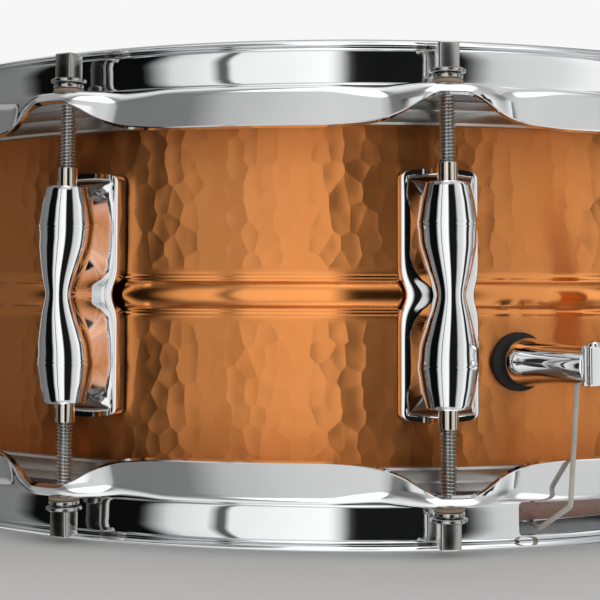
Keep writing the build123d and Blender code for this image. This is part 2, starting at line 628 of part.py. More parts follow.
def build_nodes():
    """Every node of the drum, by name, as a list of solids about mid-shell."""
    batter = Pos(0, 0, BATTER_SHIFT)
    snare = Pos(0, 0, -SNARE_SHIFT)
    lug = make_lug()
    insert = make_insert()
    nodes = {
        "shell": [make_shell()],
        "batter_head": [make_head()],
        "snare_head": [flipped(make_head())],
        "batter_flesh_hoop": [make_flesh_hoop()],
        "snare_flesh_hoop": [flipped(make_flesh_hoop())],
        "batter_hoop": [batter * make_hoop(gates=False)],
        "snare_hoop": [snare * flipped(make_hoop(gates=True))],
    }
    for i, angle in enumerate(LUG_ANGLES, start=1):
        nodes[f"lug_{i:02d}"] = around(lug, [angle])
        nodes[f"batter_rod_{i:02d}"] = around(make_rod(BATTER_SHIFT), [angle])
        nodes[f"snare_rod_{i:02d}"] = around(flipped(make_rod(SNARE_SHIFT)), [angle])

    ear_top = FLANGE_LEVEL + HOOP_METAL
    nylon = [washer(ear_top + BATTER_SHIFT + 0.02), flipped(washer(ear_top + SNARE_SHIFT + 0.02))]
    rise = WASHER_THICKNESS + RUNNING_GAP / 2
    steel = [washer(ear_top + BATTER_SHIFT + rise), flipped(washer(ear_top + SNARE_SHIFT + rise))]
    levels = (LUG_SCREW_LEVEL, -LUG_SCREW_LEVEL)
    repeated = {
        "lug_gaskets": [make_lug_gasket()],
        "lug_inserts": [insert, flipped(insert)],
        "lug_screws": [make_lug_screw(level) for level in levels],
        "lug_screw_washers": [make_lug_screw_washer(level) for level in levels],
        "rod_nylon_washers": nylon,
        "rod_steel_washers": steel,
    }
    for name, solids in repeated.items():
        nodes[name] = [copy for solid in solids for copy in around(solid, LUG_ANGLES)]

    nodes.update({
        "vent_grommet": [make_vent()],
        "strainer_left_post": [make_post(-1)],
        "strainer_right_post": [make_post(1)],
        "fitting_gaskets": [make_strainer_gasket(side) for side in (-1, 1)] + [make_butt_gasket()],
        "strainer_screws": [make_strainer_screw(side) for side in (-1, 1)],
        "strainer_end_caps": [make_end_cap(side) for side in (-1, 1)],
        "drive_cylinder": [make_drive_cylinder()],
        "throw_lever": [make_lever()],
        "tension_wheel": [make_tension_wheel()],
        "butt_body": [make_butt_body()],
        "butt_clamp_plate": [make_butt_plate()],
        "butt_screws": [make_butt_screw(side) for side in (-1, 1)],
        "butt_clamp_screws": [make_clamp_screw(side) for side in (-1, 1)],
        "snare_strands": make_strands(),
        "snare_end_plates": [make_end_plate(sign) for sign in (-1, 1)],
        "strainer_cords": [make_cord(1, side, STRAINER_HEIGHT) for side in (-1, 1)],
        "butt_cords": [make_cord(-1, side, BUTT_HEIGHT) for side in (-1, 1)],
    })
    return nodes


def main():
    os.makedirs("parts", exist_ok=True)
    for name, shapes in build_nodes().items():
        solids = [solid for shape in shapes for solid in lifted(shape).solids()]
        whole = solids[0] if len(solids) == 1 else Compound(children=solids)
        export_step(whole, f"parts/{name}.step")


main()
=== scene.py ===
"""Looks of a snare drum with a hammered bronze shell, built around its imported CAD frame.

Lengths are millimetres until a mesh is made. Heights named "level" are measured from mid-shell,
outwards along the drum's axis, as in the CAD source. Azimuths are degrees about the drum's axis.
"""
import json
import math

import bmesh
import bpy
import numpy as np
from mathutils import Matrix, Vector


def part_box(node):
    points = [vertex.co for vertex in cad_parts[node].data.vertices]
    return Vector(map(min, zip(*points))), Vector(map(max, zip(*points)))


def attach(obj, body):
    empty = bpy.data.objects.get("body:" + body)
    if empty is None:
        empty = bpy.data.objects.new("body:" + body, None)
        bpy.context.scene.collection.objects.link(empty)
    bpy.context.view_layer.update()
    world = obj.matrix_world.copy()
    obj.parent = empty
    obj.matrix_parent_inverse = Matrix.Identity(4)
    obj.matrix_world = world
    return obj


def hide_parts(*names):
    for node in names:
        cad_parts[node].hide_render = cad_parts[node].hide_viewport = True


MM = 0.001

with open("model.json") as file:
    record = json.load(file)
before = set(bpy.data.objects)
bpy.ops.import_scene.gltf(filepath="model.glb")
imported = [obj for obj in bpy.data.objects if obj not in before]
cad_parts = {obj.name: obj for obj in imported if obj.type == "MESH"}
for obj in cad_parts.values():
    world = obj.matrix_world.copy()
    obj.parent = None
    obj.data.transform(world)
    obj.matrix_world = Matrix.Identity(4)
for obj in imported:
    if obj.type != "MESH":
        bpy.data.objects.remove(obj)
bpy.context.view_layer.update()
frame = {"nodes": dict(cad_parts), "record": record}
shell_low, shell_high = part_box("shell")
MID = (shell_low.z + shell_high.z) / 2 / MM

# Shell and heads
SHELL_RADIUS = 177.0
SHELL_WALL = 1.2
EDGE_LEVEL = (shell_high.z - shell_low.z) / 2 / MM
EDGE_TURN = 4.0
BEAD_HALF = 4.2
BEAD_RISE = 2.2
LIP_LEVEL = 5.6
BEAD_POLISH = 0.45
HAMMER_LEVELS = (9.0, 52.0)
HAMMER_EDGES = (1.6, 2.0)
DENT_SIZE = (6.6, 7.8)
DENT_RADIUS = 105.0
FACET_SIZE = (5.2, 6.8)
FACET_RADIUS = 78.0
SHELL_COLUMNS = 720
FILM = 0.3
VENT_ANGLE = 72.0
VENT_LEVEL = 24.0

# Hoops
HOOP_METAL = 2.1
HOOP_SOFT = 0.28
HOOP_CORNER = 2.1
WALL_INNER = 180.2
RIM_LEVEL = 77.0
RIM_CURL = 185.4
FLANGE_TOP = 62.5
SKIRT_OUTER = 197.2
SKIRT_LEAN = math.radians(21)
EAR_OUTER = 201.5
EAR_HOLE = 3.5
BATTER_SHIFT = 0.4
SNARE_SHIFT = -0.6
GATE_HALF_ANGLE = 10.3
GATE_LEVELS = (63.4, 73.6)

# Lugs and tension rods
LUG_ANGLES = [18.0 + 36.0 * i for i in range(10)]
ROD_CIRCLE = 191.5
TUBE_HALF = 33.5
TUBE_CREASE = 20.8
LUG_BORE = 3.15
NECK_SHIFT = 3.4
BASE_HALF_WIDTH = 12.1
BASE_HALF_HEIGHT = 38.6
BASE_INNER = 177.9
FLANGE_OUT = 182.0
ROD_RADIUS = 2.55
THREAD_DEPTH = 0.72
THREAD_PITCH = 25.4 / 24
SLEEVE_RADIUS = 3.05
SLEEVE_LEVELS = (19.8, 39.5)

# Strainer and butt
STRAINER_LEVEL = -20.5
DRIVE_OUT = 193.2
POST_SIDE = 29.0
POST_END_SIDE = 22.6
POST_END_OUT = 203.5
BUTT_LEVEL = -38.0
BUTT_OUT = 185.6
BUTT_SIZE = (20.0, 60.0, 16.0)
PAD_FACES = (0.88, 0.02)

# Snares and cords
SNARE_COUNT = 20
SNARE_SPACING = 2.0
SNARE_HALF = 151.5
SNARE_STRAIGHT = 8.0
COIL_PITCH = 1.6
COIL_RADIUS = 0.52
WIRE_RADIUS = 0.2
PLATE_OUT = 158.5
PLATE_SIZE = (17.0, 43.8, 0.94)
CORD_RADIUS = 0.78
CORD_BEND = 1.8

# The noise values between which colours and roughness vary
NOISE_SPAN = (0.3, 0.7)

# Camera: azimuth about the drum, distance from its axis, height from mid-shell, and aim
VIEW_AZIMUTH = -27.7
VIEW_DISTANCE = 582.3
VIEW_LEVEL = -0.32
VIEW_PITCH = 3.06
VIEW_YAW = -1.69
VIEW_ROLL = 0.12
LENS = 79.42
SHIFT_DOWN = -0.1247

# Studio: how steep a direction is where the walls give way to the slopes, and the slopes to the ceiling
SLOPES_FROM = (0.56, 0.66)
CEILING_FROM = (0.80, 0.90)
BACKDROP = (0.93, 0.93, 0.93, 1)
FLOOR_RADIUS = 5000.0
FLOOR_DROP = 0.05


# ---- mesh tools ----

class Shape:
    """Points in millimetres and the faces between them."""

    def __init__(self, points=(), faces=()):
        self.points = np.asarray(points, float).reshape(-1, 3)
        self.faces = [list(face) for face in faces]

    def add(self, other):
        """Takes another shape in, and returns the whole."""
        start = len(self.points)
        self.points = np.vstack([self.points, other.points])
        self.faces += [[start + i for i in face] for face in other.faces]
        return self

    def moved(self, matrix):
        """A copy turned and moved by a 4x4 matrix."""
        m = np.array(matrix)
        return Shape(self.points @ m[:3, :3].T + m[:3, 3], self.faces)

    def shifted(self, x=0.0, y=0.0, z=0.0):
        """A copy moved along the axes."""
        return Shape(self.points + np.array([x, y, z]), self.faces)

    def turned(self, degrees):
        """A copy turned about the drum's axis."""
        return self.moved(Matrix.Rotation(math.radians(degrees), 4, "Z"))

    def flipped(self):
        """The mirror image below mid-shell."""
        return Shape(self.points * np.array([1, 1, -1]), [face[::-1] for face in self.faces])


def grid(points, close_rows=False, close_columns=False):
    """A surface through a rows x columns x 3 array of points."""
    rows, columns = points.shape[:2]
    r, c = np.meshgrid(
        np.arange(rows if close_rows else rows - 1),
        np.arange(columns if close_columns else columns - 1),
        indexing="ij",
    )
    up = (r + 1) % rows
    side = (c + 1) % columns
    faces = np.stack([r * columns + c, r * columns + side, up * columns + side, up * columns + c], -1)
    return Shape(points.reshape(-1, 3), faces.reshape(-1, 4).tolist())


def capped(rows):
    """A tube through rows of points, closed at both ends."""
    shape = grid(np.array(rows), close_columns=True)
    numbers = list(range(len(shape.points)))
    count = len(rows[0])
    shape.faces += [numbers[:count], numbers[-count:]]
    return shape


def arc(centre, radius, start, end, count):
    """Points in a plane on an arc between two angles."""
    turn = np.linspace(start, end, count)
    return [(centre[0] + radius * math.cos(a), centre[1] + radius * math.sin(a)) for a in turn]


def lathe(profile, segments=48):
    """A solid turned about Z from (radius, height) points; ends at radius 0 close to a point."""
    turn = np.linspace(0, 2 * math.pi, segments, endpoint=False)
    body = [(r, z) for r, z in profile if r > 1e-6]
    ring = np.array([[(r * math.cos(a), r * math.sin(a), z) for a in turn] for r, z in body])
    solid_ends = profile[0][0] < 1e-6
    shape = grid(ring, close_rows=not solid_ends, close_columns=True)
    if solid_ends:
        count = len(shape.points)
        shape.points = np.vstack([shape.points, [[0, 0, profile[0][1]], [0, 0, profile[-1][1]]]])
        last = (len(body) - 1) * segments
        for i in range(segments):
            j = (i + 1) % segments
            shape.faces.append([j, i, count])
            shape.faces.append([last + i, last + j, count + 1])
    return shape


def disc(radius, thickness, bevel=0.3, hole=0.0, segments=40):
    """A round plate from z 0 upwards, with softened edges and an optional hole."""
    outside = [(radius - bevel, 0), (radius, bevel), (radius, thickness - bevel), (radius - bevel, thickness)]
    if not hole:
        return lathe([(0, 0)] + outside + [(0, thickness)], segments)
    return lathe(outside + [(hole, thickness), (hole, 0)], segments)


def box(size, bevel=0.5, segments=2):
    """A box about the origin with rounded edges."""
    mesh = bmesh.new()
    bmesh.ops.create_cube(mesh, size=1.0)
    bmesh.ops.scale(mesh, vec=size, verts=mesh.verts)
    bmesh.ops.bevel(mesh, geom=list(mesh.edges), offset=bevel, segments=segments, profile=0.5, affect="EDGES")
    mesh.verts.ensure_lookup_table()
    shape = Shape([v.co[:] for v in mesh.verts], [[v.index for v in f.verts] for f in mesh.faces])
    mesh.free()
    return shape


def along(direction, origin=(0, 0, 0), up=(0, 0, 1)):
    """The matrix that lays local Z along a direction, with local X as near "up" as it can be."""
    z = Vector(direction).normalized()
    x = Vector(up) - Vector(up).dot(z) * z
    if x.length < 1e-6:
        x = Vector((1, 0, 0)) - z.x * z
    x.normalize()
    y = z.cross(x)
    turn = Matrix((x, y, z)).transposed().to_4x4()
    return Matrix.Translation(Vector(origin)) @ turn


def smooth_through(points, x):
    """Smooth values at x through a few (x, value) points, level at both ends."""
    px = np.array([p[0] for p in points], float)
    py = np.array([p[1] for p in points], float)
    slope = np.zeros(len(px))
    step = np.diff(py) / np.diff(px)
    slope[1:-1] = np.where(step[1:] * step[:-1] > 0, (step[1:] + step[:-1]) / 2, 0)
    limit = 2.5 * np.minimum(np.abs(step[1:]), np.abs(step[:-1]))
    slope[1:-1] = np.clip(slope[1:-1], -limit, limit)
    x = np.clip(x, px[0], px[-1])
    k = np.clip(np.searchsorted(px, x, side="right") - 1, 0, len(px) - 2)
    h = px[k + 1] - px[k]
    t = (x - px[k]) / h
    return (
        py[k] * (1 + 2 * t) * (1 - t) ** 2
        + slope[k] * h * t * (1 - t) ** 2
        + py[k + 1] * t * t * (3 - 2 * t)
        + slope[k + 1] * h * t * t * (t - 1)
    )


def sweep(route, radius, sides=12):
    """A round bar along a list of points, closed at both ends."""
    route = [Vector(p) for p in route]
    rings = []
    side = None
    for i, point in enumerate(route):
        ahead = route[min(i + 1, len(route) - 1)] - route[max(i - 1, 0)]
        ahead.normalize()
        if side is None:
            side = ahead.orthogonal().normalized()
        side = (side - side.dot(ahead) * ahead).normalized()
        other = ahead.cross(side)
        rings.append([
            point + radius * (math.cos(a) * side + math.sin(a) * other)
            for a in np.linspace(0, 2 * math.pi, sides, endpoint=False)
        ])
    return capped(rings)


def rounded_route(corners, radius, steps=6):
    """The points of a line with its corners rounded."""
    corners = [Vector(c) for c in corners]
    route = [corners[0]]
    for before, corner, after in zip(corners, corners[1:], corners[2:]):
        into = (before - corner).normalized()
        out = (after - corner).normalized()
        bend = into.angle(out)
        cut = min(radius / math.tan(bend / 2), (before - corner).length / 2, (after - corner).length / 2)
        start, end = corner + into * cut, corner + out * cut
        for k in range(steps + 1):
            t = k / steps
            route.append(start * (1 - t) ** 2 + corner * 2 * t * (1 - t) + end * t * t)
    route.append(corners[-1])
    return route


def bpy_mesh(name, shape):
    """A Blender mesh in metres, with its faces turned outwards."""
    mesh = bpy.data.meshes.new(name)
    mesh.from_pydata((shape.points * MM).tolist(), [], shape.faces)
    work = bmesh.new()
    work.from_mesh(mesh)
    bmesh.ops.recalc_face_normals(work, faces=work.faces)
    work.to_mesh(mesh)
    work.free()
    return mesh


def place(name, data):
    """A new object in the scene."""
    item = bpy.data.objects.new(name, data)
    bpy.context.scene.collection.objects.link(item)
    return item


def piece(name, shape, node, finish, crease=35, body="drum"):
    """A finished piece: it stands for a CAD node, takes a material slot's finish and rides a body.

    The shape has levels about mid-shell, and is lifted to its height above the ground.
    """
    mesh = shape if isinstance(shape, bpy.types.Mesh) else bpy_mesh(name, shape)
    mesh.transform(Matrix.Translation((0, 0, MID * MM)))
    item = place(name, mesh)
    mesh.materials.append(finishes[finish])
    mesh.shade_smooth()
    mesh.set_sharp_from_angle(angle=math.radians(crease))
    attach(item, body)
    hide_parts(node)


def boolean(shape, cutters, operation="DIFFERENCE"):
    """A Blender mesh of one shape with others cut from it or joined to it."""
    item = place("work", bpy_mesh("work", shape))
    tools = []
    for cutter in cutters:
        tool = place("tool", bpy_mesh("tool", cutter))
        step = item.modifiers.new("cut", "BOOLEAN")
        step.operation = operation
        step.solver = "EXACT"
        step.object = tool
        tools.append(tool)
    bpy.context.view_layer.update()
    finished = item.evaluated_get(bpy.context.evaluated_depsgraph_get())
    mesh = bpy.data.meshes.new_from_object(finished)
    for used in [item] + tools:
        bpy.data.objects.remove(used)
    return mesh


# ---- materials ----

def add_node(tree, kind, inputs=None, **settings):
    """A shader node with its settings, each input linked to a socket or set to a plain value."""
    node = tree.nodes.new("ShaderNode" + kind)
    for name, value in settings.items():
        setattr(node, name, value)
    for socket, value in (inputs or {}).items():
        if isinstance(value, bpy.types.NodeSocket):
            tree.links.new(value, node.inputs[socket])
        else:
            node.inputs[socket].default_value = value
    return node


def math_node(tree, operation, *values):
    """The result of a math node."""
    return add_node(tree, "Math", dict(enumerate(values)), operation=operation).outputs[0]


def map_range(tree, value, start, end, low=0.0, high=1.0, **settings):
    """A number that goes from low to high as the value goes from start to end."""
    span = {"Value": value, "From Min": start, "From Max": end, "To Min": low, "To Max": high}
    return add_node(tree, "MapRange", span, **settings).outputs["Result"]


def new_material(name, color, metallic, roughness):
    """A material, its node tree and its Principled shader."""
    material = bpy.data.materials.new(name)
    material.use_nodes = True
    shader = material.node_tree.nodes["Principled BSDF"]
    shader.inputs["Base Color"].default_value = (*color, 1)
    shader.inputs["Metallic"].default_value = metallic
    shader.inputs["Roughness"].default_value = roughness
    return material, material.node_tree, shader


def add_noise(tree, scale, detail, stretch=(1, 1, 1)):
    """A noise in the object's own frame, stretched along its axes."""
    where = add_node(tree, "TexCoord").outputs["Object"]
    spread = add_node(tree, "Mapping", {"Vector": where, "Scale": stretch}).outputs["Vector"]
    return add_node(tree, "TexNoise", {"Vector": spread, "Scale": scale, "Detail": detail}).outputs[0]


def tint(tree, noise, shader, dark, light):
    """Clouds the base colour between two colours."""
    ramp = add_node(tree, "ValToRGB", {"Fac": noise})
    for stop, position, color in zip(ramp.color_ramp.elements, NOISE_SPAN, (dark, light)):
        stop.position = position
        stop.color = (*color, 1)
    tree.links.new(ramp.outputs["Color"], shader.inputs["Base Color"])


def vary(tree, noise, shader, low, high):
    """Clouds the roughness between two values."""
    tree.links.new(map_range(tree, noise, *NOISE_SPAN, low, high), shader.inputs["Roughness"])


def roughen(tree, shader, noise, strength, distance):
    """Bump from a noise."""
    bump = add_node(tree, "Bump", {"Strength": strength, "Distance": distance, "Height": noise})
    tree.links.new(bump.outputs["Normal"], shader.inputs["Normal"])


def hammer(material):
    """Crisp hammer facets around the drum's axis, kept off the bead and the smooth borders."""
    tree = material.node_tree
    shader = tree.nodes["Principled BSDF"]
    split = add_node(tree, "SeparateXYZ", {"Vector": add_node(tree, "TexCoord").outputs["Object"]}).outputs
    angle = math_node(tree, "ARCTAN2", split["Y"], split["X"])
    level = math_node(tree, "SUBTRACT", split["Z"], MID * MM)
    away = math_node(tree, "ABSOLUTE", level)
    spot = add_node(tree, "CombineXYZ", {
        "X": math_node(tree, "MULTIPLY", angle, SHELL_RADIUS / FACET_SIZE[0]),
        "Y": math_node(tree, "DIVIDE", level, FACET_SIZE[1] * MM),
    }).outputs["Vector"]
    cells = add_node(tree, "TexVoronoi", {"Vector": spot, "Scale": 1.0, "Randomness": 0.82},
                     voronoi_dimensions="2D")
    reach = math_node(tree, "POWER", cells.outputs["Distance"], 2.0)
    low, high = HAMMER_LEVELS
    for start, end in ((low - HAMMER_EDGES[0], low), (high + HAMMER_EDGES[1], high)):
        reach = math_node(tree, "MULTIPLY", reach, map_range(tree, away, start * MM, end * MM))
    depth = FACET_SIZE[0] ** 2 / (2 * FACET_RADIUS) * MM
    bump = add_node(tree, "Bump", {"Strength": 1.0, "Distance": depth, "Height": reach})
    tree.links.new(bump.outputs["Normal"], shader.inputs["Normal"].links[0].from_node.inputs["Normal"])
    polish = map_range(tree, away, (LIP_LEVEL + 0.4) * MM, (LIP_LEVEL + 2.0) * MM, BEAD_POLISH)
    rough = shader.inputs["Roughness"]
    tree.links.new(math_node(tree, "MULTIPLY", rough.links[0].from_socket, polish), rough)


def metal(name, dark, light, roughness, cloud, grain=None, anisotropy=0.0):
    """A metal with cloudy colour and roughness; grain is a noise's scale, detail, stretch and strength."""
    material, tree, shader = new_material(name, light, 1.0, roughness[0])
    clouds = add_noise(tree, cloud, 5)
    tint(tree, clouds, shader, dark, light)
    vary(tree, clouds, shader, *roughness)
    if grain:
        roughen(tree, shader, add_noise(tree, *grain[:3]), grain[3], 0.05 * MM)
    if anisotropy:
        shader.inputs["Anisotropic"].default_value = anisotropy
        shader.inputs["Anisotropic Rotation"].default_value = 0.25
        around = add_node(tree, "Tangent", direction_type="RADIAL", axis="Z")
        tree.links.new(around.outputs["Tangent"], shader.inputs["Tangent"])
    return material


def plain(name, dark, light, roughness, bump_scale, strength, sheen=0.0):
    """A non-metal with mottled colour and a fine rough surface."""
    material, tree, shader = new_material(name, light, 0.0, roughness)
    tint(tree, add_noise(tree, 60.0, 4), shader, dark, light)
    roughen(tree, shader, add_noise(tree, bump_scale, 3), strength, 0.2 * MM)
    shader.inputs["Sheen Weight"].default_value = sheen
    return material


def clear_film():
    """The snare head's hazy clear film."""
    material, tree, shader = new_material("clear_film", (0.88, 0.89, 0.90), 0.0, 0.28)
    haze = add_noise(tree, 35.0, 4)
    tint(tree, haze, shader, (0.80, 0.81, 0.83), (0.90, 0.91, 0.92))
    vary(tree, haze, shader, 0.22, 0.34)
    shader.inputs["Transmission Weight"].default_value = 0.75
    shader.inputs["IOR"].default_value = 1.15
    return material


def make_materials():
    """Every finish of the drum, by material slot."""
    around_lines = (260.0, 3, (0.12, 0.12, 9.0))
    metals = {
        "hammered_bronze": ((0.90, 0.325, 0.090), (0.97, 0.375, 0.118), (0.38, 0.42), 26.0,
                            (*around_lines, 0.14), 1.0),
        "chrome": ((0.80, 0.81, 0.82), (0.86, 0.87, 0.88), (0.025, 0.06), 45.0, (220.0, 2, (1, 1, 1), 0.012)),
        "nickel": ((0.66, 0.60, 0.51), (0.76, 0.71, 0.62), (0.10, 0.18), 60.0, (500.0, 3, (1, 1, 0.1), 0.05)),
        "brushed_aluminium": ((0.46, 0.45, 0.43), (0.62, 0.61, 0.58), (0.28, 0.42), 40.0,
                              (*around_lines, 0.2), 0.5),
        "plated_steel": ((0.44, 0.44, 0.43), (0.62, 0.62, 0.60), (0.16, 0.30), 90.0),
        "zinc_steel": ((0.50, 0.50, 0.50), (0.66, 0.66, 0.67), (0.25, 0.40), 80.0),
        "snare_steel": ((0.58, 0.59, 0.60), (0.74, 0.75, 0.77), (0.18, 0.30), 70.0,
                        (300.0, 3, (0.1, 4.0, 4.0), 0.05)),
    }
    others = {
        "black_rubber": ((0.012, 0.012, 0.012), (0.030, 0.029, 0.028), 0.62, 900.0, 0.5),
        "tan_nylon": ((0.36, 0.25, 0.17), (0.52, 0.38, 0.27), 0.42, 500.0, 0.2),
        "coated_film": ((0.76, 0.75, 0.71), (0.86, 0.85, 0.82), 0.75, 1500.0, 0.6),
        "white_cord": ((0.62, 0.57, 0.49), (0.80, 0.76, 0.68), 0.85, 1600.0, 0.9, 0.4),
    }
    made = {name: metal(name, *look) for name, look in metals.items()}
    made.update({name: plain(name, *look) for name, look in others.items()})
    made["clear_film"] = clear_film()
    hammer(made["hammered_bronze"])
    return made


# ---- shell and heads ----

def dents(azimuth, level):
    """How far the hammer pressed the wall in, for arrays of azimuth (degrees) and level.

    Every dent is a shallow bowl, and neighbours meet in a soft ridge.
    """
    rng = np.random.default_rng(7)
    arc = np.radians(azimuth) * SHELL_RADIUS
    columns = int(round(2 * math.pi * SHELL_RADIUS / DENT_SIZE[0]))
    width = 2 * math.pi * SHELL_RADIUS / columns
    rows = int(2 * EDGE_LEVEL / DENT_SIZE[1]) + 2
    centre_x = (np.arange(columns)[:, None] + rng.uniform(-0.30, 0.30, (columns, rows))) * width
    drift = rng.uniform(-0.5, 0.5, (columns, 1))
    centre_z = (np.arange(rows)[None, :] - rows / 2 + drift + rng.uniform(-0.22, 0.22, (columns, rows)))
    centre_z = centre_z * DENT_SIZE[1]
    depth = rng.uniform(0.075, 0.105, (columns, rows))
    bowl = DENT_RADIUS * rng.uniform(0.8, 1.3, (columns, rows))
    column = np.floor(arc / width).astype(int)
    row = np.floor(level / DENT_SIZE[1] + rows / 2).astype(int)
    lowest = np.zeros(arc.shape)
    for dc in (-1, 0, 1, 2):
        for dr in (-2, -1, 0, 1, 2):
            c = column + dc
            r = np.clip(row + dr, 0, rows - 1)
            k = c % columns
            across = arc - (centre_x[k, r] + (c - k) * width)
            up = (level - centre_z[k, r]) * DENT_SIZE[0] / DENT_SIZE[1]
            lowest = np.minimum(lowest, (across ** 2 + up ** 2) / (2 * bowl[k, r]) - depth[k, r])
    return lowest


def bead_radius(level):
    """The wall's outer radius near the bead: a round rib between two soft lips."""
    inside = np.clip(1 - (level / BEAD_HALF) ** 2, 0, 1)
    rib = BEAD_RISE * inside ** 0.72
    lips = 0.42 * np.exp(-((np.abs(level) - LIP_LEVEL) / 0.62) ** 2)
    return SHELL_RADIUS + rib + lips


def shell_levels():
    """Rows of the shell's outer wall, closest together on the bead."""
    low, high = HAMMER_LEVELS
    bead = np.linspace(-7.2, 7.2, 38)
    hammered = np.linspace(low, high, 36)
    outer = np.array([54.5, 57.5, 61.0, EDGE_LEVEL - EDGE_TURN - 0.4])
    upper = np.concatenate([[8.0], hammered, outer])
    return np.concatenate([-upper[::-1], bead, upper])


def make_shell():
    """The wall: hammered outside, smooth inside, with its ends turned in to the bearing edges."""
    azimuths = np.linspace(0, 360, SHELL_COLUMNS, endpoint=False)
    azimuth, level = np.meshgrid(azimuths, shell_levels())
    low, high = HAMMER_LEVELS
    away = np.abs(level)
    reach = np.clip((away - low) / HAMMER_EDGES[0], 0, 1) * np.clip((high - away) / HAMMER_EDGES[1] + 1, 0, 1)
    radius = bead_radius(level) + dents(azimuth, level) * reach
    turn = EDGE_LEVEL - EDGE_TURN
    inner = SHELL_RADIUS - SHELL_WALL
    half = [(SHELL_RADIUS - 0.5, turn + 0.9), (SHELL_RADIUS - EDGE_TURN + 0.4, EDGE_LEVEL - 0.15),
            (SHELL_RADIUS - EDGE_TURN - 0.3, EDGE_LEVEL), (inner - EDGE_TURN, EDGE_LEVEL - 0.6),
            (inner, turn - 0.6), (inner, 45.0), (inner, 20.0), (inner, 7.0), (inner + BEAD_RISE * 0.75, 2.2)]
    rest = np.array(half + [(r, -z) for r, z in half[::-1]])
    radius = np.vstack([radius, np.repeat(rest[:, :1], SHELL_COLUMNS, 1)])
    level = np.vstack([level, np.repeat(rest[:, 1:], SHELL_COLUMNS, 1)])
    turns = np.radians(azimuths)
    wall = grid(np.stack([radius * np.cos(turns), radius * np.sin(turns), level], -1), True, True)
    piece("hammered_shell", wall, "shell", "hammered_bronze", 60)


def make_heads():
    """The two films, each a thin dish over its bearing edge and down into its flesh hoop."""
    edge = SHELL_RADIUS - EDGE_TURN
    top = EDGE_LEVEL + 0.03
    knee = EDGE_LEVEL - EDGE_TURN
    outside = [(0, top + FILM), (60, top + FILM), (120, top + FILM), (edge - 4, top + FILM),
               (edge - 0.4, top + FILM), (edge + 0.9, top + FILM - 0.5), (SHELL_RADIUS + 0.65, knee),
               (179.5, 59.6)]
    inside = [(179.2, 59.6), (SHELL_RADIUS + 0.32, knee), (edge + 0.5, top - 0.5), (edge - 0.5, top),
              (edge - 4, top), (120, top), (60, top), (0, top)]
    film = lathe(outside + inside, 240)
    ring = lathe([(178.7, 52.2), (179.3, 51.7), (182.6, 51.7), (183.3, 52.4), (183.3, 55.2), (182.7, 56.4),
                  (182.9, 58.9), (182.3, 59.5), (179.2, 59.5), (178.7, 59.0)], 300)
    piece("batter_film", film, "batter_head", "coated_film", 25)
    piece("snare_film", film.flipped(), "snare_head", "clear_film", 25)
    piece("batter_flesh_ring", ring, "batter_flesh_hoop", "brushed_aluminium", 30)
    piece("snare_flesh_ring", ring.flipped(), "snare_flesh_hoop", "brushed_aluminium", 30)


# ---- hoops ----

def hoop_section(offset):
    """A hoop's closed section as (radius, level) points, at an angle from the nearest lug."""
    edge = float(smooth_through(
        [(0, 59.0), (1.2, 58.9), (2.4, 57.2), (4.2, 53.6), (6.4, 50.9), (8.6, 49.9), (12, 49.4)], offset))
    outer = float(smooth_through(
        [(0, EAR_OUTER), (1.3, EAR_OUTER - 0.1), (3.4, 199.6), (6.2, SKIRT_OUTER)], offset))
    bend = float(smooth_through([(0, 6.0), (2.0, 6.2), (5.0, 8.0), (8.0, 6.4), (11.0, 4.2)], offset))
    height = FLANGE_TOP - bend
    lean = SKIRT_LEAN * min(1.0, offset / 5.0)
    lowest = max(lean, math.asin(max(-1.0, min(1.0, (edge - height) / bend))))
    drop = max(0.0, height + bend * math.sin(lowest) - edge) / math.cos(lowest)
    middle = (outer - bend * math.cos(lean) - drop * math.sin(lowest), height)
    front = arc(middle, bend, math.pi / 2, lowest, 9)
    back = arc(middle, bend - HOOP_METAL, math.pi / 2, lowest, 9)
    down = np.array([math.sin(lowest), -math.cos(lowest)])
    across = np.array([math.cos(lowest), math.sin(lowest)])
    panel = [front[-1] + down * drop * share for share in (0.08, 0.4, 0.75)]
    panel_back = [back[-1] + down * drop * share for share in (0.75, 0.4, 0.08)]
    tip = front[-1] + down * drop
    tip_back = tip - across * HOOP_METAL
    edges = [tip - down * HOOP_SOFT, tip - across * HOOP_SOFT, tip_back + across * HOOP_SOFT,
             tip_back - down * HOOP_SOFT]
    wall = WALL_INNER
    root = (wall + HOOP_METAL + HOOP_CORNER, FLANGE_TOP + HOOP_CORNER)
    outside_root = arc(root, HOOP_CORNER, math.pi, 1.5 * math.pi, 5)
    inside_root = arc(root, HOOP_CORNER + HOOP_METAL, 1.5 * math.pi, math.pi, 5)
    curl = [(wall, 70.0), (wall, RIM_LEVEL - 2.6), (wall + 0.5, RIM_LEVEL - 1.0),
            (wall + 1.8, RIM_LEVEL - 0.1), (wall + 3.2, RIM_LEVEL), (RIM_CURL - 0.9, RIM_LEVEL - 0.1),
            (RIM_CURL, RIM_LEVEL - 1.0),
            (RIM_CURL - 0.8, RIM_LEVEL - 1.95), (wall + 3.3, RIM_LEVEL - 2.2),
            (wall + 2.35, RIM_LEVEL - 3.2), (wall + HOOP_METAL, 70.0), (wall + HOOP_METAL, 66.0)]
    flange = [(middle[0] - 1.0, FLANGE_TOP)]
    under = [(middle[0] - 1.0, FLANGE_TOP - HOOP_METAL)]
    return np.array(curl + outside_root + flange + front + panel + edges
                    + panel_back + back[::-1] + under + inside_root)


def hoop_offsets():
    """Angles from one lug to the next, closest together around the ear."""
    near = np.concatenate([np.linspace(0, 2.6, 10), np.linspace(2.9, 9.5, 21), np.linspace(10.3, 17.2, 9)])
    return np.concatenate([-near[:0:-1], near, [18.0]])


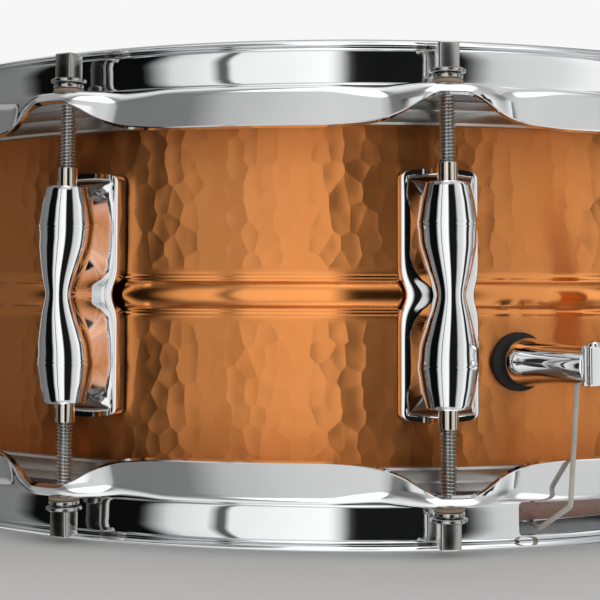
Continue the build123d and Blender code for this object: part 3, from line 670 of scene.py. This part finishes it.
def make_hoop(end, shift, gates):
    """A formed hoop: rim, wall, flange and a skirt with windows and ears, drilled for the rods."""
    offsets = hoop_offsets()
    sections = [hoop_section(abs(offset)) for offset in offsets]
    rows = []
    for lug in LUG_ANGLES:
        for offset, section in zip(offsets, sections):
            a = math.radians(lug + offset)
            radius, level = section.T
            rows.append(np.stack([radius * math.cos(a), radius * math.sin(a), level], -1))
    hoop = grid(np.array(rows), close_rows=True, close_columns=True)
    holes = Shape()
    drill = lathe([(0, 56), (EAR_HOLE, 56), (EAR_HOLE, 66), (0, 66)], 32).shifted(x=ROD_CIRCLE)
    for angle in LUG_ANGLES:
        holes.add(drill.turned(angle))
    cutters = [holes]
    if gates:
        low, high = GATE_LEVELS
        width = 2 * (WALL_INNER + 1) * math.sin(math.radians(GATE_HALF_ANGLE))
        gate = box((14, width, high - low), 1.2, 3).shifted(x=WALL_INNER - 4.0, z=(low + high) / 2)
        cutters.append(Shape().add(gate).add(gate.turned(180)))
    mesh = boolean(hoop, cutters)
    mesh.transform(Matrix.Translation((0, 0, shift * MM)))
    if end == "snare":
        mesh.transform(Matrix.Diagonal((1, 1, -1, 1)))
        mesh.flip_normals()
    piece(f"{end}_hoop_metal", mesh, f"{end}_hoop", "chrome", 40)


# ---- lugs and rods ----

def tube_radius(level):
    """Half the lug tube's width: cones at the ends, an hourglass between the two creases."""
    z = np.abs(level)
    waist = smooth_through([(0, 4.45), (3, 5.05), (6, 5.95), (10.4, 7.2), (14.8, 8.3),
                            (TUBE_CREASE - 1.2, 8.72), (TUBE_CREASE, 9.0)], z)
    cone = np.interp(z, [TUBE_CREASE, TUBE_CREASE + 0.5, TUBE_CREASE + 1.1, 28.3, TUBE_HALF],
                     [9.0, 8.97, 8.88, 7.9, 6.6])
    groove = 0.2 * np.exp(-((z - TUBE_CREASE) / 0.3) ** 2)
    return np.where(z < TUBE_CREASE, waist, cone) - groove


def lug_tube():
    """The hourglass tube with a blind bore in each end, about the drum's axis at azimuth 0."""
    crease = TUBE_CREASE + np.array([-0.6, -0.35, -0.15, 0, 0.15, 0.35, 0.6, 1.1])
    outer = np.concatenate([crease, np.linspace(22.5, TUBE_HALF - 0.35, 11)])
    levels = np.concatenate([-outer[::-1], np.linspace(-19.5, 19.5, 53), outer])
    half = TUBE_HALF
    end = [(LUG_BORE, half - 10.0), (LUG_BORE, half - 0.3), (LUG_BORE + 0.3, half), (6.2, half)]
    stations = [(radius, -level, 0.0, 1.0) for radius, level in end]
    stations += [(float(tube_radius(level)), level, neck_lean(level), 0.96) for level in levels]
    stations += [(radius, level, 0.0, 1.0) for radius, level in end[::-1]]
    turn = np.linspace(0, 2 * math.pi, 56, endpoint=False)
    rows = []
    for radius, level, lean, flat in stations:
        out = ROD_CIRCLE + lean + radius * flat * np.cos(turn)
        rows.append(np.stack([out, radius * np.sin(turn), 0 * turn + level], -1))
    return capped(rows)


def neck_lean(level):
    """How far the tube's axis leans outwards between the creases."""
    return NECK_SHIFT * 0.5 * (1 + math.cos(math.pi * min(abs(level), TUBE_CREASE) / TUBE_CREASE))


def foot_section(level, columns=24):
    """One closed section across the lug's foot as (y, r) points.

    A flat rim runs around the foot, and steep walls rise from it to the widest line of the tube.
    """
    z = abs(level)
    inset = BASE_HALF_HEIGHT - z
    near_end = min(1.0, max(0.0, 1 - inset / 2.0))
    near_bead = math.exp(-(z / 4.6) ** 2)
    edge = BASE_HALF_WIDTH - 1.9 * (1 - math.sqrt(1 - near_end ** 2)) - 1.6 * near_bead
    strip = float(smooth_through([(0, 6.4), (2.0, 6.9), (4.5, 8.5), (7.7, 9.8), (11, 10.4), (14.3, 10.6),
                                  (35, 10.6), (BASE_HALF_HEIGHT, 10.7)], z))
    strip = min(strip, edge - 0.9)
    flange = FLANGE_OUT + 0.9 * near_bead
    full = ROD_CIRCLE + neck_lean(level) - 0.3
    crest = max(flange, min(full, FLANGE_OUT + 1.25 * (inset - 1.9)))
    share = (crest - flange) / (full - flange)
    wall_top = 0.975 * float(tube_radius(level))
    top = strip - 0.5 + (wall_top - strip + 0.5) * share
    half = [(0.0, crest), (top * 0.5, crest), (top - 0.35, crest), (top, crest - 0.25 * share)]
    for k in (0.8, 0.6, 0.4, 0.22, 0.08):
        half.append((strip - 0.3 + (top - strip + 0.3) * k, flange + (crest - flange) * 0.97 * k))
    half += [(strip - 0.15, flange + 0.04 * share), (strip + 0.1, flange), (edge - 0.5, flange - 0.08),
             (edge - 0.12, flange - 0.3), (edge, flange - 0.75)]
    arch = 176.6 + 5.3 * math.sqrt(max(0.0, 1 - (z / 5.0) ** 2))
    under = np.linspace(edge, -edge, columns)
    lower = [(y, max(math.sqrt(BASE_INNER ** 2 - y * y), arch)) for y in under]
    return [(-y, r) for y, r in half[:0:-1]] + half + lower


def lug_base():
    """The lug's foot: a flange with an arch for the bead, and a body with steep walls up to the tube."""
    half = BASE_HALF_HEIGHT
    near = np.linspace(0, 8, 33)
    end = half - np.array([1.6, 1.1, 0.7, 0.4, 0.15, 0.0])
    levels = np.concatenate([near, np.linspace(8.5, half - 2.2, 44), end])
    levels = np.concatenate([-levels[:0:-1], levels])
    rows = []
    for level in levels:
        section = np.array(foot_section(level))
        bowed = level * (1 - 1.3 / half * (section[:, 0] / BASE_HALF_WIDTH) ** 2 * (abs(level) / half) ** 3)
        rows.append(np.stack([section[:, 1], section[:, 0], bowed], -1))
    return capped(rows)


def outline_of(rows, columns):
    """The point numbers around a grid's border, in order."""
    loop = [r * columns for r in range(rows)]
    loop += [(rows - 1) * columns + c for c in range(1, columns)]
    loop += [r * columns + columns - 1 for r in range(rows - 2, -1, -1)]
    return loop + list(range(columns - 2, 0, -1))


def make_lugs():
    """Ten cast lugs, their gaskets, swivel sleeves and the screws behind them."""
    lug = boolean(lug_base(), [lug_tube()], "UNION")
    for i, angle in enumerate(LUG_ANGLES, start=1):
        mesh = lug.copy()
        mesh.name = f"cast_lug_{i:02d}"
        mesh.transform(Matrix.Rotation(math.radians(angle), 4, "Z"))
        piece(f"cast_lug_{i:02d}", mesh, f"lug_{i:02d}", "chrome", 32)
    low, high = SLEEVE_LEVELS
    wide = SLEEVE_RADIUS
    sleeve = lathe([(2.62, low), (wide - 0.25, low), (wide, low + 0.25), (wide, high - 0.3),
                    (wide - 0.12, high), (2.75, high), (2.62, high - 0.2)], 36).shifted(x=ROD_CIRCLE)
    height, foot = BASE_HALF_HEIGHT - 1.6, 6.8
    pad = wall_pad(BASE_HALF_WIDTH - 0.3, foot, height, 15, 12)
    pad.add(wall_pad(BASE_HALF_WIDTH - 0.3, -height, -foot, 15, 12))
    face = SHELL_RADIUS - SHELL_WALL - 1.0
    screw = lathe(pan_head(3.8, 2.6, 2.0, 8.2), 28).moved(along((1, 0, 0), (face - 2.6, 0, 0)))
    flat = disc(4.5, 0.8, 0.15, 2.1, 28).moved(along((1, 0, 0), (face, 0, 0)))
    pads, sleeves, screws, flats = Shape(), Shape(), Shape(), Shape()
    for angle in LUG_ANGLES:
        pads.add(pad.turned(angle))
        for shape in (sleeve, sleeve.flipped()):
            sleeves.add(shape.turned(angle))
        for level in (28.0, -28.0):
            screws.add(screw.shifted(z=level).turned(angle))
            flats.add(flat.shifted(z=level).turned(angle))
    piece("lug_pads", pads, "lug_gaskets", "black_rubber")
    piece("swivel_sleeves", sleeves, "lug_inserts", "nickel")
    piece("lug_fixing_screws", screws, "lug_screws", "zinc_steel")
    piece("lug_fixing_washers", flats, "lug_screw_washers", "zinc_steel")


def pan_head(head, height, shank, length):
    """The outline of a pan-head screw from the top of its head (z 0) to its tip."""
    dome = [(0, 0.0), (head * 0.55, 0.12), (head * 0.85, 0.5), (head, 1.2), (head, height)]
    return dome + [(shank, height), (shank, length - 0.6), (shank - 0.5, length), (0, length)]


def wall_pad(half_width, low, high, columns, rows):
    """A thin pad on the shell's +X side, between two levels."""
    y = np.linspace(-half_width, half_width, columns)
    yy, zz = np.meshgrid(y, np.linspace(low, high, rows), indexing="ij")
    return slab(*(np.stack([np.sqrt((SHELL_RADIUS + out) ** 2 - yy ** 2), yy, zz], -1) for out in PAD_FACES))


def slab(upper, lower):
    """A closed solid between two matching grids of points."""
    rows, columns = upper.shape[:2]
    shape = grid(upper)
    start = len(shape.points)
    shape.add(grid(lower))
    loop = outline_of(rows, columns)
    for i, j in zip(loop, loop[1:] + loop[:1]):
        shape.faces.append([i, j, start + j, start + i])
    return shape


def threaded(low, high, sides=20, steps=8):
    """A bar along Z with a rolled helical thread between two heights."""
    z = np.linspace(low, high, int((high - low) / THREAD_PITCH * steps))
    zz, aa = np.meshgrid(z, np.linspace(0, 2 * math.pi, sides, endpoint=False), indexing="ij")
    phase = zz / THREAD_PITCH - aa / (2 * math.pi)
    ridge = (0.5 + 0.5 * np.cos(2 * math.pi * phase)) ** 0.8
    fade = np.clip(np.minimum(zz - low, high - zz) / THREAD_PITCH, 0, 1)
    rr = ROD_RADIUS - THREAD_DEPTH * (1 - ridge * fade)
    return capped(np.stack([rr * np.cos(aa), rr * np.sin(aa), zz], -1))


def tension_rod(ear_top):
    """One key rod about Z: thread, collar with a soft edge, and a square head with a chamfered top."""
    seat = ear_top + 3.2
    rod = threaded(24.0, seat - 3.6)
    rod.add(lathe([(0, seat - 3.8), (2.3, seat - 3.8), (2.5, seat - 3.4), (2.5, seat), (5.2, seat),
                   (5.55, seat + 0.3), (5.55, seat + 1.0), (5.0, seat + 1.4), (0, seat + 1.4)], 40))
    return rod.add(box((6.3, 6.3, 8.4), 0.55).shifted(z=seat + 5.18))


def make_rods():
    """Twenty tension rods, each on its own joint, and the washers under their collars."""
    nylon, steel = Shape(), Shape()
    ring = disc(4.75, 1.26, 0.25, 2.95, 40)
    for end, shift in (("batter", BATTER_SHIFT), ("snare", SNARE_SHIFT)):
        ear_top = FLANGE_TOP + shift
        parts = [tension_rod(ear_top), ring.shifted(z=ear_top + 0.03), ring.shifted(z=ear_top + 1.47)]
        for i, angle in enumerate(LUG_ANGLES, start=1):
            rod, low, top = (part.shifted(x=ROD_CIRCLE).turned(angle) for part in parts)
            if end == "snare":
                rod, low, top = rod.flipped(), low.flipped(), top.flipped()
            node = f"{end}_rod_{i:02d}"
            piece(f"{end}_key_rod_{i:02d}", rod, node, "plated_steel", 50, body=node)
            nylon.add(low)
            steel.add(top)
    piece("nylon_washers", nylon, "rod_nylon_washers", "tan_nylon")
    piece("steel_washers", steel, "rod_steel_washers", "plated_steel")


# ---- strainer and butt ----

def ring_pad(radius, hole, thickness):
    """A round rubber pad on the shell's +X side, its outer rim softened."""
    rho = np.array([hole, radius - 0.5, radius - 0.12, radius])
    rr, aa = np.meshgrid(rho, np.linspace(0, 2 * math.pi, 48, endpoint=False), indexing="ij")
    across, up = rr * np.cos(aa), rr * np.sin(aa)
    lowered = np.array([0, 0, 0.12, 0.5])[:, None]
    outer = np.stack([np.sqrt((SHELL_RADIUS + thickness) ** 2 - across ** 2) - lowered, across, up], -1)
    inner = np.stack([np.sqrt((SHELL_RADIUS + PAD_FACES[1]) ** 2 - across ** 2), across, up], -1)
    return grid(np.concatenate([outer, inner[::-1]]), close_rows=True, close_columns=True)


def post_frame(side):
    """The start, unit direction and length of one post's axis."""
    start_out = math.sqrt(SHELL_RADIUS ** 2 - POST_SIDE ** 2) - 2
    start = Vector((start_out, side * POST_SIDE, STRAINER_LEVEL))
    run = Vector((POST_END_OUT - start_out, side * (POST_END_SIDE - POST_SIDE), 0))
    return start, run.normalized(), run.length


def strainer_post(side):
    """A cast post: flared at its foot, waisted, and square at the end under its cap."""
    start, lean, length = post_frame(side)
    post = lathe([(0, 2.9), (6.6, 2.9), (7.5, 3.4), (7.7, 4.6), (7.45, 6.8), (7.0, 9.6), (6.6, 12.5),
                  (6.3, 16.0), (6.05, 20.0), (5.9, 24.0), (5.85, length - 0.5), (5.6, length - 0.15),
                  (0, length - 0.1)], 56)
    heel = np.clip((15.0 - post.points[:, 2]) / 12.0, 0, 1) * np.clip(side * post.points[:, 1], 0, None)
    post.points[:, 1] += side * 0.22 * heel
    return post.moved(along(lean, start))


def strainer_cap(side):
    """The end cap of one post, in three stepped plates, with a domed rivet on top."""
    low, high = 12.0, 27.3
    middle = side * (low + high) / 2
    width = high - low
    cap = box((1.2, width, 11.8), 0.35).shifted(x=POST_END_OUT + 0.6, y=middle, z=STRAINER_LEVEL)
    cap.add(box((1.5, width - 1.4, 10.4), 0.3).shifted(x=POST_END_OUT + 1.8, y=middle, z=STRAINER_LEVEL))
    cap.add(box((2.1, width, 11.6), 0.8, 3).shifted(x=POST_END_OUT + 3.4, y=middle, z=STRAINER_LEVEL))
    rivet = [(0, 1.55), (0.9, 1.42), (1.6, 1.05), (2.0, 0.5), (2.05, 0.0), (2.05, -0.6), (0, -0.6)]
    return cap.add(lathe(rivet, 32).shifted(POST_END_OUT + 2.2, side * (high - 3), STRAINER_LEVEL + 5.85))


def on_shaft(shape):
    """A shape about Z, laid on the axis of the strainer's cross shaft."""
    return shape.moved(along((0, 1, 0), (DRIVE_OUT, 0, STRAINER_LEVEL)))


def drive_shaft():
    """The cross shaft between the posts, with a grooved spool at each end."""
    half = [(0, 25.4), (2.6, 25.4), (2.9, 25.1), (2.9, 24.6), (2.3, 24.2), (2.3, 22.0), (2.9, 21.6),
            (2.9, 12.4), (5.1, 12.0), (5.45, 11.6), (5.45, 8.6)]
    return on_shaft(lathe(half + [(r, -y) for r, y in half[::-1]], 48))


def throw_lever():
    """The lever: a hub on the cross shaft and a crowned blade that curves up and outwards."""
    hub = lathe([(5.6, 7.6), (7.1, 7.6), (7.45, 7.2), (7.45, -7.2), (7.1, -7.6), (5.6, -7.6)], 56)
    rise = np.linspace(0, 1, 28)
    level = STRAINER_LEVEL + 4.0 + 35.6 * rise
    out = DRIVE_OUT + 0.9 + 11.0 * rise ** 2.4
    across = np.sin(np.linspace(-1, 1, 17) * math.pi / 2)
    half_width = 6.9 - 0.9 * np.sin(rise * math.pi) - 4.0 * np.clip((rise - 0.9) / 0.1, 0, 1) ** 2.2
    yy = half_width[:, None] * across
    thick = 3.1 - 0.9 * rise[:, None] - 0.9 * across ** 4
    lean = np.gradient(out, level)
    normal = np.stack([1 + 0 * lean, 0 * lean, -lean], -1) / np.sqrt(1 + lean ** 2)[:, None]
    back = np.stack([out[:, None] + 0 * yy, yy, level[:, None] + 0 * yy], -1)
    front = back + normal[:, None, :] * thick[..., None]
    return on_shaft(hub).add(slab(front, back))


def tension_wheel():
    """The knurled wheel at the end of the shaft, with a recessed face and its stem."""
    turn = np.linspace(0, 2 * math.pi, 192, endpoint=False)
    groove = 0.42 * np.clip(np.cos(24 * turn) - 0.35, 0, None) / 0.65
    profile = [(2.7, 26.4, 0), (2.7, 33.5, 0), (6.3, 33.5, 0), (7.0, 33.9, 0.7), (7.45, 34.4, 1),
               (7.45, 39.4, 1), (7.0, 39.9, 0.7), (6.2, 40.3, 0), (5.0, 40.3, 0), (4.6, 39.8, 0)]
    rows = []
    for radius, y, knurl in profile:
        r = radius - groove * knurl
        rows.append(np.stack([r * np.cos(turn), r * np.sin(turn), np.full(len(turn), y)], -1))
    return on_shaft(capped(rows))


def make_strainer():
    """The throw-off on the +X side, and the pads under it and under the butt."""
    lean = math.degrees(math.asin(POST_SIDE / SHELL_RADIUS))
    inside = SHELL_RADIUS - SHELL_WALL - 4.1
    screw = lathe(pan_head(4.3, 3.0, 1.95, 11.2), 28).moved(along((1, 0, 0), (inside, 0, STRAINER_LEVEL)))
    caps, screws, pads = Shape(), Shape(), Shape()
    for side, name in ((-1, "left"), (1, "right")):
        piece(f"cast_post_{name}", strainer_post(side), f"strainer_{name}_post", "chrome")
        caps.add(strainer_cap(side))
        screws.add(screw.turned(side * lean))
        pads.add(ring_pad(9.1, 5.4, 2.15).shifted(z=STRAINER_LEVEL).turned(side * lean))
    pads.add(wall_pad(30.3, BUTT_LEVEL - 8.35, BUTT_LEVEL + 8.35, 31, 9).turned(180))
    piece("post_caps", caps, "strainer_end_caps", "chrome")
    piece("cross_shaft", drive_shaft(), "drive_cylinder", "chrome", body="lever")
    piece("throw_off_lever", throw_lever(), "throw_lever", "chrome", body="lever")
    piece("knurled_wheel", tension_wheel(), "tension_wheel", "chrome", body="wheel")
    piece("strainer_fixing_screws", screws, "strainer_screws", "zinc_steel")
    piece("fitting_pads", pads, "fitting_gaskets", "black_rubber")


def make_butt():
    """The snares' fixed anchor on the -X side."""
    body = box(BUTT_SIZE, 2.2, 3).shifted(x=-BUTT_OUT, z=BUTT_LEVEL)
    seat = SHELL_RADIUS + PAD_FACES[0] + 0.04
    wall = lathe([(0, -60), (seat, -60), (seat, -16), (0, -16)], 360)
    relief = box((12.0, 26.0, 24.0), 1.0).shifted(x=-183.0, z=BUTT_LEVEL)
    plate = box((2.75, 57.8, 13.8), 0.7, 3).shifted(x=-199.3, z=BUTT_LEVEL)
    clamp = lathe([(0, 0), (1.9, 0), (1.9, 7.9), (3.6, 7.9), (3.95, 8.2), (3.95, 8.7), (3.5, 9.1),
                   (0, 9.1)], 32)
    clamp.add(box((5.1, 5.1, 5.3), 0.5).shifted(z=11.3))
    screw = lathe(pan_head(3.95, 3.0, 1.95, 17.8), 28)
    clamps, screws = Shape(), Shape()
    for side in (-1, 1):
        clamps.add(clamp.moved(along((-1, 0, 0), (-192.8, side * 12.0, BUTT_LEVEL))))
        screws.add(screw.moved(along((-1, 0, 0), (-SHELL_RADIUS + 11.0, side * 20.0, BUTT_LEVEL))))
    piece("butt_casting", boolean(body, [wall, relief]), "butt_body", "chrome")
    piece("butt_clamp", plate, "butt_clamp_plate", "chrome")
    piece("butt_key_screws", clamps, "butt_clamp_screws", "chrome")
    piece("butt_fixing_screws", screws, "butt_screws", "zinc_steel")


def make_vent():
    """The air vent's grommet."""
    inside = SHELL_RADIUS - SHELL_WALL - 1.6
    face = SHELL_RADIUS
    outline = [(3.62, inside), (6.5, inside), (6.75, inside + 0.3), (6.75, inside + 1.15),
               (4.95, inside + 1.2), (4.95, face + 0.2), (7.1, face + 0.2), (7.35, face + 0.5),
               (6.9, face + 1.2), (5.6, face + 1.6), (4.3, face + 1.5), (3.62, face + 0.9)]
    grommet = lathe(outline, 48).moved(along((1, 0, 0), (0, 0, VENT_LEVEL))).turned(VENT_ANGLE)
    piece("vent_eyelet", grommet, "vent_grommet", "chrome")


# ---- snares and cords ----

def snare_cord(sign, side, top):
    """A cord along its fixed route: past the skirt, around the flange and in to the wires."""
    route = rounded_route([
        (sign * 197.0, side * 23.1, top),
        (sign * 196.67, side * 26.2, -62.1),
        (sign * 181.3, side * 26.2, -70.85),
        (sign * 167.4, side * 19.0, -71.55),
    ], CORD_BEND)
    return sweep(route, CORD_RADIUS, 14)


def snare_wire(y, level):
    """One coiled wire along X, straight at its two soldered ends."""
    half = SNARE_HALF - SNARE_STRAIGHT
    turns = int(2 * half / COIL_PITCH)
    t = np.linspace(-1, 1, turns * 7 + 1)
    phase = math.pi * turns * (t + 1)
    side, rise = COIL_RADIUS * np.cos(phase), COIL_RADIUS * np.sin(phase)
    core = np.stack([half * t, y + side, level + rise], -1)
    core = np.vstack([[(-SNARE_HALF, y, level + 0.3)], core, [(SNARE_HALF, y, level + 0.3)]])
    ahead = np.gradient(core, axis=0)
    ahead /= np.linalg.norm(ahead, axis=1)[:, None]
    up = np.cross(ahead, (0.0, 1.0, 0.0))
    up /= np.linalg.norm(up, axis=1)[:, None]
    other = np.cross(ahead, up)
    corners = np.radians([90, 210, 330])
    rings = [core + WIRE_RADIUS * (math.cos(a) * up + math.sin(a) * other) for a in corners]
    return capped(np.stack(rings, 1))


def make_snares():
    """The coiled wires between two end plates, and the cords that hold them."""
    level = -(EDGE_LEVEL + FILM + 0.3)
    wires, plates, slots = Shape(), Shape(), Shape()
    for i in range(SNARE_COUNT):
        wires.add(snare_wire((i - (SNARE_COUNT - 1) / 2) * SNARE_SPACING, level - 1.75))
    plate = box(PLATE_SIZE, 0.25).shifted(x=PLATE_OUT, z=level - 0.5)
    slot = box((2.2, 6.0, 4.0), 0.6, 3).shifted(x=PLATE_OUT + 4.7, z=level - 0.5)
    for end in (0, 180):
        plates.add(plate.turned(end))
        for y in (-17.5, -6.0, 6.0, 17.5):
            slots.add(slot.shifted(y=y).turned(end))
    piece("coiled_snares", wires, "snare_strands", "snare_steel", 80, body="snares")
    piece("snare_plates", boolean(plates, [slots]), "snare_end_plates", "snare_steel", body="snares")
    ends = (("strainer", "cords", 1, STRAINER_LEVEL), ("butt", "drum", -1, BUTT_LEVEL))
    for name, body, sign, top in ends:
        cords = snare_cord(sign, -1, top).add(snare_cord(sign, 1, top))
        piece(f"{name}_snare_cords", cords, f"{name}_cords", "white_cord", 60, body=body)


# ---- stage ----

def mixed(tree, first, second, share):
    """A colour between two others."""
    mix = add_node(tree, "Mix", {"Factor": share, "A": first, "B": second}, data_type="RGBA")
    return mix.outputs["Result"]


def make_world():
    """A soft studio: pale walls with dark gaps between the light panels, as bright bands by azimuth."""
    world = bpy.data.worlds.new("studio")
    bpy.context.scene.world = world
    world.use_nodes = True
    tree = world.node_tree
    where = add_node(tree, "TexCoord").outputs["Generated"]
    turned = add_node(tree, "VectorRotate", {"Vector": where, "Angle": -math.radians(VIEW_AZIMUTH)},
                      rotation_type="Z_AXIS")
    split = add_node(tree, "SeparateXYZ", {"Vector": turned.outputs["Vector"]}).outputs
    share = map_range(tree, math_node(tree, "ARCTAN2", split["Y"], split["X"]), -math.pi, math.pi)
    walls = [(-180, 0.55), (-152, 0.85), (-148, 0.02), (-138, 0.02), (-134, 0.40), (-125, 0.16), (-84, 0.22),
             (-78, 0.004), (-47, 0.004), (-40, 0.80), (-30, 1.0), (-29, 0.12), (-26.5, 0.12), (-25.5, 1.0),
             (-2, 1.2), (3, 0.01), (30, 0.01), (37, 0.68), (55, 0.82), (62, 1.0), (71, 1.1), (73, 0.03),
             (86, 0.03), (88, 1.0), (110, 0.25), (122, 0.25), (126, 0.95), (146, 1.05), (150, 0.02),
             (160, 0.02), (164, 0.55), (180, 0.55)]
    slopes = [(-180, 0.44), (-100, 0.40), (-62, 0.18), (-42, 0.22), (-32, 0.52), (-8, 0.72), (8, 0.74),
              (16, 0.56), (30, 0.54), (44, 0.74), (80, 0.66), (110, 0.50), (180, 0.44)]
    ceiling = [(-180, 1.1), (-100, 0.8), (-60, 0.3), (-43, 0.4), (-34, 1.6), (-8, 2.3), (2, 2.3), (12, 1.6),
               (30, 1.3), (45, 1.9), (110, 1.3), (180, 1.1)]
    zones = []
    for stops in (walls, slopes, ceiling):
        bands = add_node(tree, "ValToRGB", {"Fac": share})
        ramp = bands.color_ramp
        while len(ramp.elements) < len(stops):
            ramp.elements.new(0.5)
        for element, (azimuth, value) in zip(ramp.elements, stops):
            element.position = (azimuth + 180) / 360
            element.color = (value, value, value * 0.99, 1)
        zones.append(bands.outputs["Color"])
    steep = math_node(tree, "ABSOLUTE", split["Z"])
    slope = map_range(tree, steep, *SLOPES_FROM, interpolation_type="SMOOTHSTEP")
    overhead = map_range(tree, steep, *CEILING_FROM, interpolation_type="SMOOTHSTEP")
    light = mixed(tree, mixed(tree, zones[0], zones[1], slope), zones[2], overhead)
    seen = add_node(tree, "LightPath").outputs["Is Camera Ray"]
    color = mixed(tree, light, BACKDROP, seen)
    tree.links.new(color, tree.nodes["Background"].inputs["Color"])


def make_floor():
    """A plain pale floor, kept out of the chrome so that the studio's bands run on below the horizon."""
    floor, tree, shader = new_material("pale_floor", (0.80, 0.80, 0.80), 0.0, 0.7)
    tint(tree, add_noise(tree, 2.0, 2), shader, (0.78, 0.78, 0.78), (0.82, 0.82, 0.82))
    rim = arc((0, 0), FLOOR_RADIUS, 0, 2 * math.pi, 97)[:-1]
    mesh = bpy_mesh("floor", Shape([(x, y, -FLOOR_DROP) for x, y in rim], [range(len(rim))]))
    mesh.materials.append(floor)
    item = place("floor", mesh)
    item.visible_glossy = False


def make_camera():
    """The camera, close to the drum and level with its middle."""
    data = bpy.data.cameras.new("camera")
    data.sensor_width = 36.0
    data.lens = LENS
    data.shift_y = SHIFT_DOWN
    data.clip_start = 0.01
    item = place("camera", data)
    azimuth = math.radians(VIEW_AZIMUTH)
    out = Vector((math.cos(azimuth), math.sin(azimuth), 0))
    right = Vector((-math.sin(azimuth), math.cos(azimuth), 0))
    yaw, pitch, roll = (math.radians(v) for v in (VIEW_YAW, VIEW_PITCH, VIEW_ROLL))
    ahead = (-out * math.cos(yaw) + right * math.sin(yaw)) * math.cos(pitch) + Vector((0, 0, math.sin(pitch)))
    level_side = right * math.cos(yaw) + out * math.sin(yaw)
    up = level_side.cross(ahead)
    side = level_side * math.cos(roll) + up * math.sin(roll)
    up = side.cross(ahead)
    turn = Matrix((side, up, -ahead)).transposed().to_4x4()
    spot = out * VIEW_DISTANCE + Vector((0, 0, MID + VIEW_LEVEL))
    item.matrix_world = Matrix.Translation(spot * MM) @ turn
    bpy.context.scene.camera = item


# ---- scene ----

finishes = make_materials()
make_shell()
make_heads()
make_hoop("batter", BATTER_SHIFT, gates=False)
make_hoop("snare", SNARE_SHIFT, gates=True)
make_lugs()
make_rods()
make_strainer()
make_butt()
make_vent()
make_snares()

slots = {subpart["node"]: subpart["material_slot"] for subpart in frame["record"]["subparts"]}
for node, item in frame["nodes"].items():
    item.data.materials.clear()
    item.data.materials.append(finishes[slots[node]])

make_floor()
make_world()
make_camera()
bpy.context.scene.view_settings.view_transform = "Standard"
